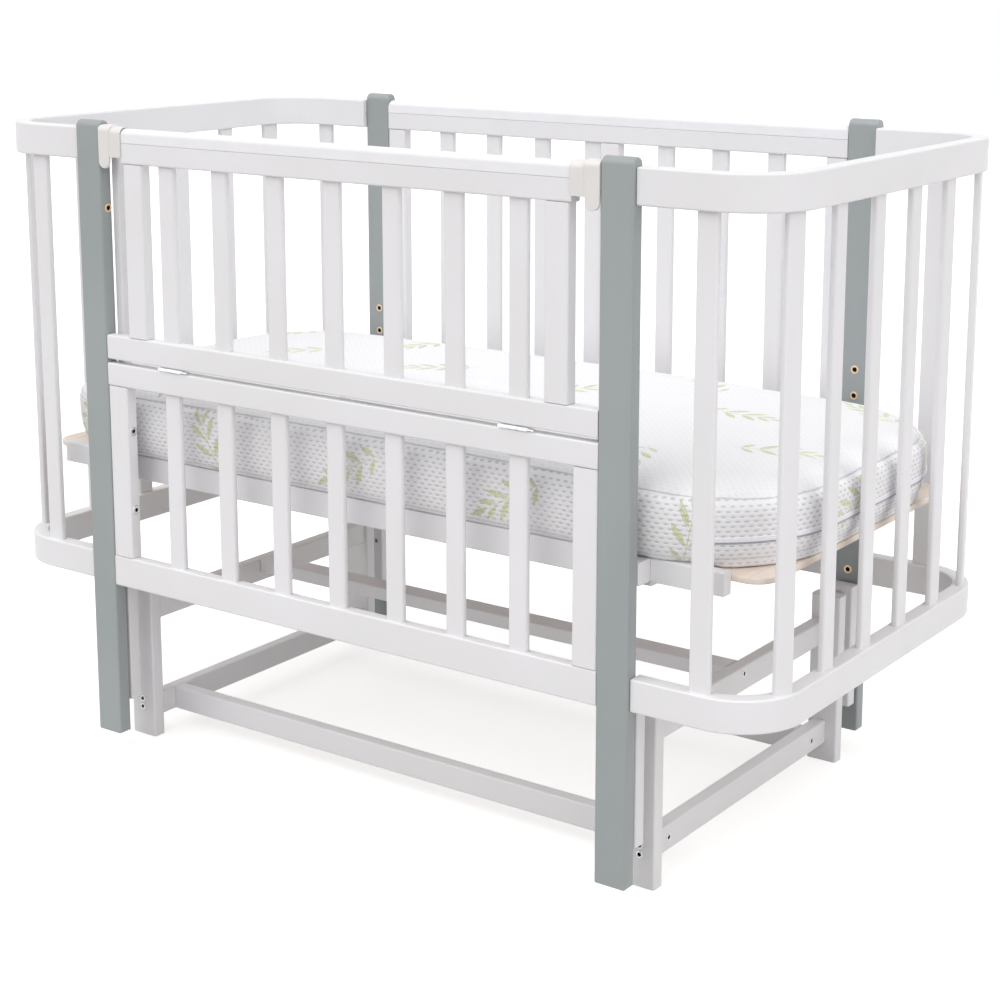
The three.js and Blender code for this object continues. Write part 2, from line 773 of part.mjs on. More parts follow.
// Stand legs, links and their bolts at the four corners
function suspension() {
  const group = new THREE.Group();
  for (const [word, side, face] of corners) {
    const corner = new THREE.Group();
    corner.position.x = side * postCentre;
    corner.rotation.z = face > 0 ? 0 : Math.PI;
    corner.add(piece(`leg_${word}`, legGeometry(), 'whitePaint',
      0, legInnerFace + legThick / 2, legHeight / 2));
    corner.add(piece(`link_${word}`, linkGeometry(), 'whitePaint',
      0, linkLine, hangerHeight + linkRise - linkHeight / 2));
    const hanger = piece(`hanger_bolt_${word}`, boltGeometry(hangerHeadThick, linkToLeg), 'zincSteel',
      0, linkLine + linkThick / 2, hangerHeight);
    hanger.rotation.z = Math.PI;
    corner.add(hanger);
    corner.add(piece(`carry_bolt_${word}`, boltGeometry(carryHeadThick, linkToPost), 'zincSteel',
      0, linkInnerFace, carryHeight));
    group.add(corner);
  }
  return group;
}

// Rails that tie the stand's legs together
function standRails() {
  const group = new THREE.Group();
  const crossLength = 2 * (legInnerFace - seat);
  const upperMiddle = postSpan / 2 - upperCrossInset - crossRailThick / 2;
  const lowerMiddle = postSpan / 2 - lowerCrossInset - crossRailThick / 2;
  const upperHeight = upperRailTop - upperRailHeight / 2;
  const lowerHeight = lowerRailFoot + lowerRailHeight / 2;
  for (const [word, side] of ends) {
    group.add(piece(`stand_upper_cross_rail_${word}`,
      bar(crossLength, upperRailHeight, crossRailThick, alongY), 'whitePaint',
      side * upperMiddle, 0, upperHeight));
    group.add(piece(`stand_lower_cross_rail_${word}`,
      bar(crossLength, lowerRailHeight, crossRailThick, alongY), 'whitePaint',
      side * lowerMiddle, 0, lowerHeight));
  }
  group.add(piece('stand_upper_long_rail',
    bar(2 * upperMiddle - crossRailThick - 2 * seat, upperLongWidth, upperLongThick, alongX),
    'whitePaint', 0, 0, upperRailTop - upperLongThick / 2));
  const lowerLongLine = legInnerFace - lowerLongInset - lowerLongThick / 2;
  for (const [word, face] of [['front', -1], ['rear', 1]]) {
    group.add(piece(`stand_lower_long_rail_${word}`,
      bar(2 * lowerMiddle - crossRailThick - 2 * seat, lowerLongThick, lowerRailHeight, alongX),
      'whitePaint', 0, face * lowerLongLine, lowerHeight));
  }
  return group;
}

// Deck rail with its ledge, from the rail's outer face and foot, the ledge towards +Y. Its two ends
// are shallower from below.
function deckRailGeometry() {
  const rail = moved(bar(deckRailLength, deckRailThick, deckRailHeight, alongX),
    0, deckRailThick / 2, deckRailHeight / 2);
  const ledgeReach = deckRailThick / 2 + ledgeThick;
  const ledge = moved(
    new THREE.BoxGeometry(deckRailLength - 2 * ledgeSetback, ledgeReach, ledgeHeight),
    0, (deckRailThick + ledgeReach) / 2, ledgeHeight / 2);
  const tipDepth = deckRailThick + ledgeThick + 2 * cutOverrun;
  const tips = ends.map(([, side]) => moved(
    new THREE.BoxGeometry(tipLength + cutOverrun, tipDepth, tipRelief + cutOverrun),
    side * (deckRailLength / 2 + (cutOverrun - tipLength) / 2), tipDepth / 2 - cutOverrun,
    (tipRelief - cutOverrun) / 2));
  return cut(joined([rail, ledge]), tips);
}

// Beech slats on two tapes, about the slats' underside
function deckSlats() {
  const width = 2 * (deckRailInnerFace - deckSideGap);
  const middle = (deckSlatCount - 1) / 2;
  const parts = [];
  for (let index = 0; index < deckSlatCount; index += 1) {
    parts.push(moved(bar(width, deckSlatThick, deckSlatWidth, alongY),
      (index - middle) * deckSlatPitch, 0, deckSlatThick / 2));
  }
  for (const face of [-1, 1]) {
    parts.push(moved(new THREE.BoxGeometry(
      2 * middle * deckSlatPitch + deckSlatWidth - 2 * edgeRound, tapeWidth, tapeThick),
    0, face * tapeSpread, 0));
  }
  return joined(parts);
}

// Board with two round outer corners, from the middle of its inner edge, outwards to +X
function endBoardGeometry() {
  const halfWidth = deckRailInnerFace - deckSideGap;
  const shape = new THREE.Shape();
  shape.moveTo(0, -halfWidth);
  shape.lineTo(boardWidth - boardRadius, -halfWidth);
  shape.absarc(boardWidth - boardRadius, boardRadius - halfWidth, boardRadius,
    -Math.PI / 2, 0);
  shape.absarc(boardWidth - boardRadius, halfWidth - boardRadius, boardRadius,
    0, Math.PI / 2);
  shape.lineTo(0, halfWidth);
  shape.closePath();
  return slab(shape, deckSlatThick, deckSlatThick / 4, alongZ, boardSteps);
}

function deck() {
  const group = new THREE.Group();
  for (const [word, face] of [['front', -1], ['rear', 1]]) {
    const rail = piece(`deck_rail_${word}`, deckRailGeometry(), 'whitePaint',
      0, face * deckRailOuterFace, deckRailFoot);
    rail.rotation.z = face < 0 ? 0 : Math.PI;
    group.add(rail);
  }
  const blockWidth = postInnerFace - deckRailOuterFace - 2 * seat;
  for (const [word, side, face] of corners) {
    group.add(piece(`deck_block_${word}`, bar(postWidth, blockWidth, blockHeight, alongX),
      'whitePaint', side * postCentre, face * (postInnerFace - seat - blockWidth / 2),
      deckRailFoot + deckRailHeight - blockHeight / 2));
  }
  group.add(piece('deck_slats', deckSlats(), 'beech', 0, 0, deckFoot));
  for (const [word, side] of ends) {
    const board = piece(`deck_end_board_${word}`, endBoardGeometry(), 'beech',
      side * boardEdge, 0, deckFoot + deckSlatThick / 2);
    board.rotation.z = side > 0 ? 0 : Math.PI;
    group.add(board);
  }
  return group;
}

function smooth(share) {
  const bounded = Math.min(Math.max(share, 0), 1);
  return bounded * bounded * (3 - 2 * bounded);
}

// Points of a rectangle with round corners, drawn in all round by inset
function mattressRing(inset) {
  const halfLength = mattressLength / 2 - inset;
  const halfWidth = mattressWidth / 2 - inset;
  const radius = mattressCorner * halfWidth / (mattressWidth / 2);
  const points = [];
  const quarter = Math.PI / 2;
  for (const [side, face, start] of [[1, -1, -1], [1, 1, 0], [-1, 1, 1], [-1, -1, 2]]) {
    for (let step = 0; step <= mattressCornerSteps; step += 1) {
      const angle = (start + step / mattressCornerSteps) * quarter;
      points.push([
        side * (halfLength - radius) + radius * Math.cos(angle),
        face * (halfWidth - radius) + radius * Math.sin(angle),
      ]);
    }
  }
  return withRuns(points);
}

// The long and short straights between corners get points of their own
function withRuns(points) {
  const dense = [];
  points.forEach((point, index) => {
    dense.push(point);
    if ((index + 1) % (mattressCornerSteps + 1) === 0) {
      const next = points[(index + 1) % points.length];
      for (let step = 1; step < mattressRunSteps; step += 1) {
        const share = step / mattressRunSteps;
        dense.push([
          point[0] + share * (next[0] - point[0]),
          point[1] + share * (next[1] - point[1]),
        ]);
      }
    }
  });
  return dense;
}

// Underside: flat on the deck rails' tops, sagging between and past them onto the slats
function mattressUnder(x, y) {
  const between = deckRailInnerFace - mattressSagMargin - Math.abs(y);
  const past = Math.abs(x) - (deckRailLength / 2 - mattressTipSag);
  return -mattressSag * smooth(Math.max(between, past) / mattressSagBlend);
}

// Top: highest in the middle, a little lower at the ends, falling to the seam at the rim
function mattressOver(x, y, rise) {
  const alongShare = (2 * x / mattressLength) ** 2;
  return mattressSide + rise * mattressCrown - mattressTipDrop * alongShare;
}

// Rows from the middle of the underside, out and up round the side, and in over the top
function mattressRows() {
  const halfWidth = mattressWidth / 2;
  const onRails = halfWidth - deckRailInnerFace;
  const sagStart = onRails + mattressSagMargin;
  const under = [halfWidth / 2, sagStart + mattressSagBlend, sagStart, onRails, mattressTuck];
  const rows = under.map((inset) => ({ inset, height: mattressUnder }));
  for (const share of mattressSideShares) {
    const tuck = mattressTuck * (1 - share) ** mattressTuckPower;
    const waist = mattressWaist * Math.sin(Math.PI * share) ** 2;
    rows.push({ inset: tuck + waist, height: (x, y) => share * mattressOver(x, y, 0) });
  }
  rows.push({ inset: mattressSeamInset, height: (x, y) => mattressOver(x, y, 0) });
  for (const [insetShare, riseShare] of mattressCrownRows) {
    rows.push({
      inset: mattressSeamInset + insetShare * (halfWidth - mattressSeamInset),
      height: (x, y) => mattressOver(x, y, riseShare),
    });
  }
  return rows;
}

// Mattress about its underside's middle, as rings of points closed over at both ends
function mattressGeometry() {
  const positions = [0, 0, mattressUnder(0, 0)];
  const rows = mattressRows();
  for (const { inset, height } of rows) {
    for (const [x, y] of mattressRing(inset)) {
      positions.push(x, y, height(x, y));
    }
  }
  positions.push(0, 0, mattressOver(0, 0, 1));
  const count = mattressRing(0).length;
  const last = 1 + rows.length * count;
  const indices = [];
  for (let step = 0; step < count; step += 1) {
    const next = (step + 1) % count;
    indices.push(0, 1 + next, 1 + step);
    indices.push(last, last - count + step, last - count + next);
    for (let row = 0; row < rows.length - 1; row += 1) {
      const low = 1 + row * count;
      const high = low + count;
      indices.push(low + step, low + next, high + next);
      indices.push(low + step, high + next, high + step);
    }
  }
  const geometry = new THREE.BufferGeometry();
  geometry.setAttribute('position', new THREE.Float32BufferAttribute(positions, 3));
  geometry.setIndex(indices);
  return geometry;
}

function mattress() {
  return piece('mattress', mattressGeometry(), 'knit', 0, 0, deckRailFoot + deckRailHeight + seat);
}

const crib = new THREE.Group();
crib.add(suspension(), standRails(), posts(), frontSide(), rearSide(), gate(), hinges(),
  crossEnds(), deck(), mattress());

export default crib;
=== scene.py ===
import json
import math

import bmesh
import bpy
import numpy as np
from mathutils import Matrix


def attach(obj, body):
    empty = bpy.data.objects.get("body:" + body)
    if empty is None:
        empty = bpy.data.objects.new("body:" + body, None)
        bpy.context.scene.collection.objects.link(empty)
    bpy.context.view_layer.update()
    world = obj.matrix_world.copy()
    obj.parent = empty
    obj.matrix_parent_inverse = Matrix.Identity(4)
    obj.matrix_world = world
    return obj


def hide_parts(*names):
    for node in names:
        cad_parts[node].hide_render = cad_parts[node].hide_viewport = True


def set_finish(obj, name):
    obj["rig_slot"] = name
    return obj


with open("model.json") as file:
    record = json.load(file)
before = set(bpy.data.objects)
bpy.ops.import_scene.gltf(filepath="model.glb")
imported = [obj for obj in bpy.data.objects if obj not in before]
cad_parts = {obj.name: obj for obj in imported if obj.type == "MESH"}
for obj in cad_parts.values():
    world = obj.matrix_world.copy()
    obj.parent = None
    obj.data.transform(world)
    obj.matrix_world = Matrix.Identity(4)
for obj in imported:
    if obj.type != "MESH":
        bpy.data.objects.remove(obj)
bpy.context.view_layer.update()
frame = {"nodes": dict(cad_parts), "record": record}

nodes = frame["nodes"]
body_of_node = {
    node: body
    for body, members in frame["record"]["behaviour"]["bodies"].items()
    for node in members
}

CORNERS = [
    ("front_left", -1, -1),
    ("front_right", 1, -1),
    ("rear_left", -1, 1),
    ("rear_right", 1, 1),
]
ENDS = [("left", -1), ("right", 1)]

# Camera
LENS = 73.1
SENSOR = 36.0
SHIFT_DOWN = 0.15
CAMERA_PLACE = (1.6300, -2.2251, 1.1227)
CAMERA_TURN = 0.6224
CAMERA_DIP = 0.1949

# Shading
SMOOTH_ANGLE = math.radians(50)

# Meshes
MERGE_WITHIN = 1e-5
COPLANAR_WITHIN = math.radians(0.2)
SHARPEST = 1e-4


def linear(red, green, blue):
    """Linear colour of an 8-bit screen colour: ((c / 255 + 0.055) / 1.055) to the power 2.4."""
    screen = np.array((red, green, blue)) / 255
    value = np.where(screen > 0.04045, ((screen + 0.055) / 1.055) ** 2.4, screen / 12.92)
    return (*value.tolist(), 1.0)


def finish_piece(name, mesh, body, slot, material, replaced=()):
    """Object of a mesh in its place, smooth but for edges over the angle, riding on its body."""
    piece = bpy.data.objects.new(name, mesh)
    bpy.context.scene.collection.objects.link(piece)
    mesh.shade_smooth()
    mesh.set_sharp_from_angle(angle=SMOOTH_ANGLE)
    weighted = piece.modifiers.new("Flat faces lead", "WEIGHTED_NORMAL")
    weighted.keep_sharp = True
    mesh.materials.clear()
    mesh.materials.append(material)
    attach(piece, body)
    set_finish(piece, slot)
    if replaced:
        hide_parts(*replaced)
    return piece


def refined(node, slot, material):
    """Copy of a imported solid: corners within 10 micrometres merged, coplanar triangles dissolved
    into whole faces and its eased edges shaded round."""
    form = bmesh.new()
    form.from_mesh(nodes[node].data)
    bmesh.ops.remove_doubles(form, verts=form.verts, dist=MERGE_WITHIN)
    bmesh.ops.dissolve_limit(
        form, angle_limit=COPLANAR_WITHIN, verts=form.verts, edges=form.edges)
    mesh = bpy.data.meshes.new(node + "_form")
    form.to_mesh(mesh)
    form.free()
    for layer in ("custom_normal", "sharp_edge", "sharp_face"):
        if layer in mesh.attributes:
            mesh.attributes.remove(mesh.attributes[layer])
    return finish_piece(node + "_finished", mesh, body_of_node[node], slot, material, (node,))


def grid_faces(rows, columns, start=0, ring=False):
    """Quads between neighbouring rows of points, each row closed on itself. A ring's last row
    joins its first; otherwise the two end rows are closed by one face each."""
    row = np.arange(rows if ring else rows - 1)[:, None]
    column = np.arange(columns)[None, :]
    after = (column + 1) % columns
    below = (row + 1) % rows
    quads = np.stack([
        row * columns + column, row * columns + after,
        below * columns + after, below * columns + column], axis=-1).reshape(-1, 4) + start
    faces = quads.tolist()
    if not ring:
        faces.append((np.arange(columns)[::-1] + start).tolist())
        faces.append((np.arange(columns) + (rows - 1) * columns + start).tolist())
    return faces


def shells(name, grids, ring=False):
    """Mesh of one or more closed shells, each from a grid of points: rows by columns by XYZ."""
    points, faces, start = [], [], 0
    for grid in grids:
        rows, columns = grid.shape[:2]
        points.append(grid.reshape(-1, 3))
        faces += grid_faces(rows, columns, start, ring)
        start += rows * columns
    mesh = bpy.data.meshes.new(name + "_form")
    mesh.from_pydata(np.concatenate(points).tolist(), [], faces)
    form = bmesh.new()
    form.from_mesh(mesh)
    bmesh.ops.recalc_face_normals(form, faces=form.faces)
    form.to_mesh(mesh)
    form.free()
    return mesh


def rounded_section(width, height, radius, steps=4):
    """Outline of a rectangle with quarter-circle corners, anticlockwise: each corner's centre plus
    the radius times (cos, sin) of the angle."""
    angles = np.arange(4)[:, None] * np.pi / 2 + np.linspace(0, np.pi / 2, steps + 1)[None, :]
    side = np.array([1, -1, -1, 1])[:, None] * (width / 2 - radius)
    rise = np.array([1, 1, -1, -1])[:, None] * (height / 2 - radius)
    return np.stack([side + radius * np.cos(angles), rise + radius * np.sin(angles)],
                    axis=-1).reshape(-1, 2)


def swept(points, sides, ups, width, height, radius, easing=0.0012):
    """Rounded section carried along a path. Each point of the section is the path's point plus its
    distance along the side and the up directions; both ends are eased by a quarter circle."""

    def end(point, inward, side, up):
        rows = []
        for angle in np.linspace(0, np.pi / 2, 4):
            inset = easing * (1 - np.sin(angle))
            section = rounded_section(width - 2 * inset, height - 2 * inset,
                                      max(radius - inset, SHARPEST))
            middle = point + inward * easing * (1 - np.cos(angle))
            rows.append(middle + section[:, :1] * side + section[:, 1:] * up)
        return rows

    ahead = points[1] - points[0]
    behind = points[-2] - points[-1]
    section = rounded_section(width, height, radius)
    inner = slice(1, -1)
    body = (points[inner, None, :] + section[None, :, :1] * sides[inner, None, :]
            + section[None, :, 1:] * ups[inner, None, :])
    return np.concatenate([
        end(points[0], ahead / np.linalg.norm(ahead), sides[0], ups[0]), body,
        end(points[-1], behind / np.linalg.norm(behind), sides[-1], ups[-1])[::-1]])


def straight(start, end, side, width, height, radius):
    """Swept section from start to end, its width along side."""
    start, end, side = (np.array(v, float) for v in (start, end, side))
    along = (end - start) / np.linalg.norm(end - start)
    up = np.cross(along, side)
    points = start + (end - start) * np.linspace(0, 1, 3)[:, None]
    return swept(points, np.tile(side, (3, 1)), np.tile(up, (3, 1)), width, height, radius)


def lobes(angles, shape):
    """Radius round a turned form as a share of its largest: a circle, or a hexagon's side at
    cos 30 over the cosine of the angle from the side's middle."""
    if shape == "hexagon":
        past = (angles + np.pi / 6) % (np.pi / 3) - np.pi / 6
        return math.cos(np.pi / 6) / np.cos(past)
    return np.ones_like(angles)


def turned(profile, centre, axis, sides=32):
    """Profile of (radius, height, shape) carried round an axis through centre: each point is the
    centre plus the height along the axis and the radius times (cos, sin) across it."""
    centre, axis = np.array(centre, float), np.array(axis, float)
    across = np.array([0.0, 0.0, 1.0]) if abs(axis[2]) < 0.5 else np.array([1.0, 0.0, 0.0])
    beside = np.cross(axis, across)
    angles = np.linspace(0, 2 * np.pi, sides, endpoint=False)
    rows = []
    for radius, height, shape in profile:
        reach = radius * lobes(angles, shape)
        rows.append(centre + height * axis + reach[:, None] * (
            np.cos(angles)[:, None] * across + np.sin(angles)[:, None] * beside))
    return np.array(rows)


def socket_head(radius, height, socket, depth):
    """Profile of a domed head with a six-sided socket, from its foot up, over and down."""
    rim = min(0.22 * radius, 0.4 * height + 0.0002)
    return [
        (radius * 0.5, 0.0, ""), (radius, 0.0, ""), (radius, height - rim, ""),
        (radius - 0.3 * rim, height - 0.3 * rim, ""), (radius - rim, height, ""),
        (socket * 1.12, height, "hexagon"), (socket, height - 0.0002, "hexagon"),
        (socket, height - depth, "hexagon"), (socket * 0.3, height - depth * 1.1, "hexagon"),
    ]


# Curved ends

POST_SIDE = 0.445
SEAT = 0.0003
BOW_OUT = 0.625
BOW_DEPTH = 0.315
BOW_THICK = 0.022
BOW_CORNER = 0.085
BOW_TOP_RAIL = (0.843, 0.8865)
BOW_LOW_RAIL = (0.2487, 0.2897)
BOW_SLATS = 8
BOW_SLAT_PITCH = 0.1145
SLAT_WIDTH = 0.027
SLAT_THICK = 0.009
SLAT_ROUND = 0.003
RAIL_ROUND = 0.0025
BOW_RADIUS = BOW_CORNER - BOW_THICK / 2
BOW_RUN = BOW_DEPTH - BOW_THICK / 2 - BOW_RADIUS
BOW_ARC = BOW_RADIUS * np.pi / 2
BOW_TAIL = BOW_OUT - BOW_THICK / 2 - BOW_RADIUS - POST_SIDE - SEAT
BOW_HALF = BOW_RUN + BOW_ARC + BOW_TAIL


def bow_line(share):
    """Point and tangent angle on the curved rail's middle line at shares of its length, -1 at the
    front post and 1 at the rear post: a straight, a quarter circle and a straight on each side."""
    distance = np.abs(share) * BOW_HALF
    turn = np.clip((distance - BOW_RUN) / BOW_RADIUS, 0, np.pi / 2)
    past = np.clip(distance - BOW_RUN - BOW_ARC, 0, None)
    x = BOW_OUT - BOW_THICK / 2 - BOW_RADIUS + BOW_RADIUS * np.cos(turn) - past
    y = np.minimum(distance, BOW_RUN) + BOW_RADIUS * np.sin(turn)
    return x, np.sign(share) * y, np.sign(share) * turn


def bow_shares():
    """Shares of the middle line with one point every 5 degrees of the corners."""
    half = np.concatenate([BOW_RUN + BOW_ARC * np.linspace(0, 1, 19), [BOW_HALF]]) / BOW_HALF
    return np.concatenate([-half[::-1], half])


def bow_rail(side, foot, top):
    x, y, turn = bow_line(bow_shares())
    level = np.full_like(x, (foot + top) / 2)
    points = np.stack([side * x, y, level], axis=1)
    outward = np.stack([side * np.cos(turn), np.sin(turn), 0 * turn], axis=1)
    ups = np.tile([0.0, 0.0, 1.0], (len(x), 1))
    return swept(points, outward, ups, BOW_THICK, top - foot, RAIL_ROUND)


def bow_slats(side):
    """Slats stand square to the curved rail at even steps of its length."""
    low = sum(BOW_LOW_RAIL) / 2
    total = BOW_SLAT_PITCH * (np.arange(BOW_SLATS) - (BOW_SLATS - 1) / 2) * 2
    x, y, turn = bow_line(total)
    return [
        straight((side * px, py, low), (side * px, py, BOW_TOP_RAIL[0] - SEAT),
                 (side * math.cos(a), math.sin(a), 0), SLAT_THICK, SLAT_WIDTH, SLAT_ROUND)
        for px, py, a in zip(x, y, turn)
    ]


# Finishes


def add_node(tree, kind, inputs=None, **settings):
    """New node with its settings; an input is given a value or the socket that feeds it."""
    made = tree.nodes.new(kind)
    for key, value in settings.items():
        setattr(made, key, value)
    for key, value in (inputs or {}).items():
        if isinstance(value, bpy.types.NodeSocket):
            tree.links.new(value, made.inputs[key])
        else:
            made.inputs[key].default_value = value
    return made


def math_node(tree, operation, *values, clamp=False):
    return add_node(tree, "ShaderNodeMath", dict(enumerate(values)), operation=operation,
                    use_clamp=clamp).outputs[0]


def vector_math(tree, operation, *values, output=0):
    return add_node(tree, "ShaderNodeVectorMath", dict(enumerate(values)),
                    operation=operation).outputs[output]


def parted(tree, vector):
    return add_node(tree, "ShaderNodeSeparateXYZ", {0: vector}).outputs


def paired(tree, x, y):
    return add_node(tree, "ShaderNodeCombineXYZ", {"X": x, "Y": y}).outputs[0]


def stretched(tree, place, scale):
    return add_node(tree, "ShaderNodeMapping", {"Vector": place, "Scale": scale}).outputs[0]


def turned_flat(tree, vector, angle):
    return add_node(tree, "ShaderNodeVectorRotate", {"Vector": vector, "Angle": angle},
                    rotation_type="Z_AXIS").outputs[0]


def noise(tree, place, scale, detail=2.0, output="Fac", **more):
    """Noise over a place; more may give its Roughness and Distortion."""
    return add_node(tree, "ShaderNodeTexNoise", {
        "Vector": place, "Scale": scale, "Detail": detail, **more}).outputs[output]


def ramp(tree, value, low, high, to_low=0.0, to_high=1.0):
    return add_node(tree, "ShaderNodeMapRange", {
        "Value": value, "From Min": low, "From Max": high, "To Min": to_low, "To Max": to_high},
        interpolation_type="SMOOTHSTEP").outputs["Result"]


def blend_colours(tree, share, first, second):
    made = add_node(tree, "ShaderNodeMix", data_type="RGBA")
    for number, value in zip((0, 6, 7), (share, first, second)):
        socket = made.inputs[number]
        if isinstance(value, bpy.types.NodeSocket):
            tree.links.new(value, socket)
        else:
            socket.default_value = value
    return made.outputs[2]


def new_group(name, inputs, outputs):
    """Empty node group with its sockets; returns the tree, its inputs and its output node."""
    tree = bpy.data.node_groups.new(name, "ShaderNodeTree")
    for label, kind, value in inputs:
        socket = tree.interface.new_socket(label, in_out="INPUT", socket_type="NodeSocket" + kind)
        if value is not None:
            socket.default_value = value
    for label, kind in outputs:
        tree.interface.new_socket(label, in_out="OUTPUT", socket_type="NodeSocket" + kind)
    return tree, tree.nodes.new("NodeGroupInput").outputs, tree.nodes.new("NodeGroupOutput")


def put_out(tree, out, **values):
    """Feeds a group's outputs by name and returns the finished group."""
    for label, value in values.items():
        tree.links.new(value, out.inputs[label])
    return tree


def place_group(tree, group, **inputs):
    made = tree.nodes.new("ShaderNodeGroup")
    made.node_tree = group
    for key, value in inputs.items():
        label = key.replace("_", " ")
        if isinstance(value, bpy.types.NodeSocket):
            tree.links.new(value, made.inputs[label])
        else:
            made.inputs[label].default_value = value
    return made.outputs


def grain_group():
    """Timber grain: noise stretched along the grain, with fine pores and a slow drift of tone."""
    tree, given, out = new_group(
        "Timber grain",
        [("Vector", "Vector", None), ("Stretch", "Vector", (4.0, 60.0, 60.0)),
         ("Pores", "Float", 0.5)],
        [("Figure", "Float"), ("Tone", "Float"), ("Height", "Float")])
    laid = stretched(tree, given["Vector"], given["Stretch"])
    figure = noise(tree, laid, 1.0, 5.0, Roughness=0.55, Distortion=0.35)
    fine = ramp(tree, noise(tree, laid, 7.0, 3.0, Roughness=0.7), 0.52, 0.70)
    height = math_node(tree, "SUBTRACT", figure, math_node(tree, "MULTIPLY", fine, given["Pores"]))
    return put_out(tree, out, Figure=figure, Tone=noise(tree, given["Vector"], 3.5), Height=height)


def film_group():
    """Sprayed film: broad unevenness and fine orange peel, with the sheen's slight drift."""
    tree, given, out = new_group(
        "Sprayed film",
        [("Vector", "Vector", None), ("Peel", "Float", 1.0)],
        [("Height", "Float"), ("Sheen", "Float")])
    peel = noise(tree, given["Vector"], 420.0)
    broad = noise(tree, given["Vector"], 26.0, 3.0)
    height = math_node(tree, "ADD", math_node(tree, "MULTIPLY", peel, given["Peel"]), broad)
    return put_out(tree, out, Height=height, Sheen=broad)


def edge_group():
    """Mask of outer and inner edges: how far the normal rounded over a small radius leans away
    from the face's own, and that rounded normal."""
    tree, given, out = new_group(
        "Eased edge", [("Radius", "Float", 0.0015)], [("Edge", "Float"), ("Normal", "Vector")])
    rounded = add_node(tree, "ShaderNodeBevel", {"Radius": given["Radius"]}, samples=6).outputs[0]
    face = add_node(tree, "ShaderNodeNewGeometry").outputs["Normal"]
    lean = vector_math(tree, "DOT_PRODUCT", rounded, face, output="Value")
    return put_out(tree, out, Edge=ramp(tree, lean, 1.0, 0.8), Normal=rounded)


GRAIN = grain_group()
FILM = film_group()
EDGE = edge_group()

GRAIN_ALONG = {"x": (2.2, 70.0, 70.0), "y": (70.0, 2.2, 70.0), "z": (70.0, 70.0, 2.2)}


def new_material(name):
    material = bpy.data.materials.new(name)
    material.use_nodes = True
    tree = material.node_tree
    tree.nodes.clear()
    shader = tree.nodes.new("ShaderNodeBsdfPrincipled")
    surface = tree.nodes.new("ShaderNodeOutputMaterial")
    tree.links.new(shader.outputs[0], surface.inputs["Surface"])
    return material, tree, shader


def object_place(tree):
    return tree.nodes.new("ShaderNodeTexCoord").outputs["Object"]


def bumped(tree, shader, height, distance, normal=None, strength=1.0):
    inputs = {"Height": height, "Distance": distance, "Strength": strength}
    if normal is not None:
        inputs["Normal"] = normal
    made = add_node(tree, "ShaderNodeBump", inputs)
    tree.links.new(made.outputs[0], shader.inputs["Normal"])


def painted(name, along, body, shade, edge_highlight, roughness, grain_depth):
    """Paint over timber: the grain shows through the film a little; a lighter colour along the
    eased edges, broken up by the grain, is a painted highlight.
    """
    material, tree, shader = new_material(name)
    place = object_place(tree)
    grain = place_group(tree, GRAIN, Vector=place, Stretch=GRAIN_ALONG[along], Pores=0.7)
    film = place_group(tree, FILM, Vector=place, Peel=0.35)
    edge = place_group(tree, EDGE, Radius=0.0014)
    drift = ramp(tree, grain["Tone"], 0.35, 0.65)
    colour = blend_colours(tree, drift, body, shade)
    # Painted highlight: the eased edges are lightened towards the highlight colour, in patches that
    # follow the grain.
    highlight_breakup = ramp(tree, grain["Figure"], 0.35, 0.7, 0.15, 0.5)
    thin = math_node(tree, "MULTIPLY", edge["Edge"], highlight_breakup)
    colour = blend_colours(tree, thin, colour, edge_highlight)
    tree.links.new(colour, shader.inputs["Base Color"])
    tree.links.new(ramp(tree, film["Sheen"], 0.3, 0.7, roughness - 0.05, roughness + 0.06),
                   shader.inputs["Roughness"])
    height = math_node(tree, "ADD", math_node(tree, "MULTIPLY", grain["Height"], grain_depth),
                       math_node(tree, "MULTIPLY", film["Height"], 0.3))
    bumped(tree, shader, height, 0.00016, edge["Normal"])
    shader.inputs["Coat Weight"].default_value = 0.12
    shader.inputs["Coat Roughness"].default_value = 0.3
    return material


WHITE = linear(229, 228, 231)
WHITE_SHADE = linear(226, 225, 227)
# Painted highlight colour for the white paint's eased edges.
WHITE_EDGE_HIGHLIGHT = linear(236, 235, 235)
GREY = linear(154, 160, 161)
GREY_SHADE = linear(149, 155, 156)
# Painted highlight colour, bluish, for the grey paint's eased edges.
GREY_EDGE_HIGHLIGHT = linear(168, 176, 180)

white_along = {
    axis: painted(f"White paint along {axis}", axis, WHITE, WHITE_SHADE, WHITE_EDGE_HIGHLIGHT, 0.42, 0.45)
    for axis in "xyz"
}
grey_paint = painted("Grey paint", "z", GREY, GREY_SHADE, GREY_EDGE_HIGHLIGHT, 0.45, 0.55)


def moulded(name, body, shade, roughness):
    """Moulded plastic: a fine spark-eroded skin and a little drift of tone."""
    material, tree, shader = new_material(name)
    place = object_place(tree)
    film = place_group(tree, FILM, Vector=place, Peel=1.0)
    edge = place_group(tree, EDGE, Radius=0.0008)
    colour = blend_colours(tree, ramp(tree, film["Sheen"], 0.3, 0.7), body, shade)
    tree.links.new(colour, shader.inputs["Base Color"])
    tree.links.new(ramp(tree, film["Sheen"], 0.3, 0.7, roughness - 0.04, roughness + 0.05),
                   shader.inputs["Roughness"])
    bumped(tree, shader, film["Height"], 0.00006, edge["Normal"])
    shader.inputs["IOR"].default_value = 1.48
    return material


cap_plastic = moulded("White capping", linear(236, 235, 239), linear(233, 232, 236), 0.34)
latch_plastic = moulded("Cream latch plastic", linear(224, 221, 219), linear(221, 218, 216), 0.36)


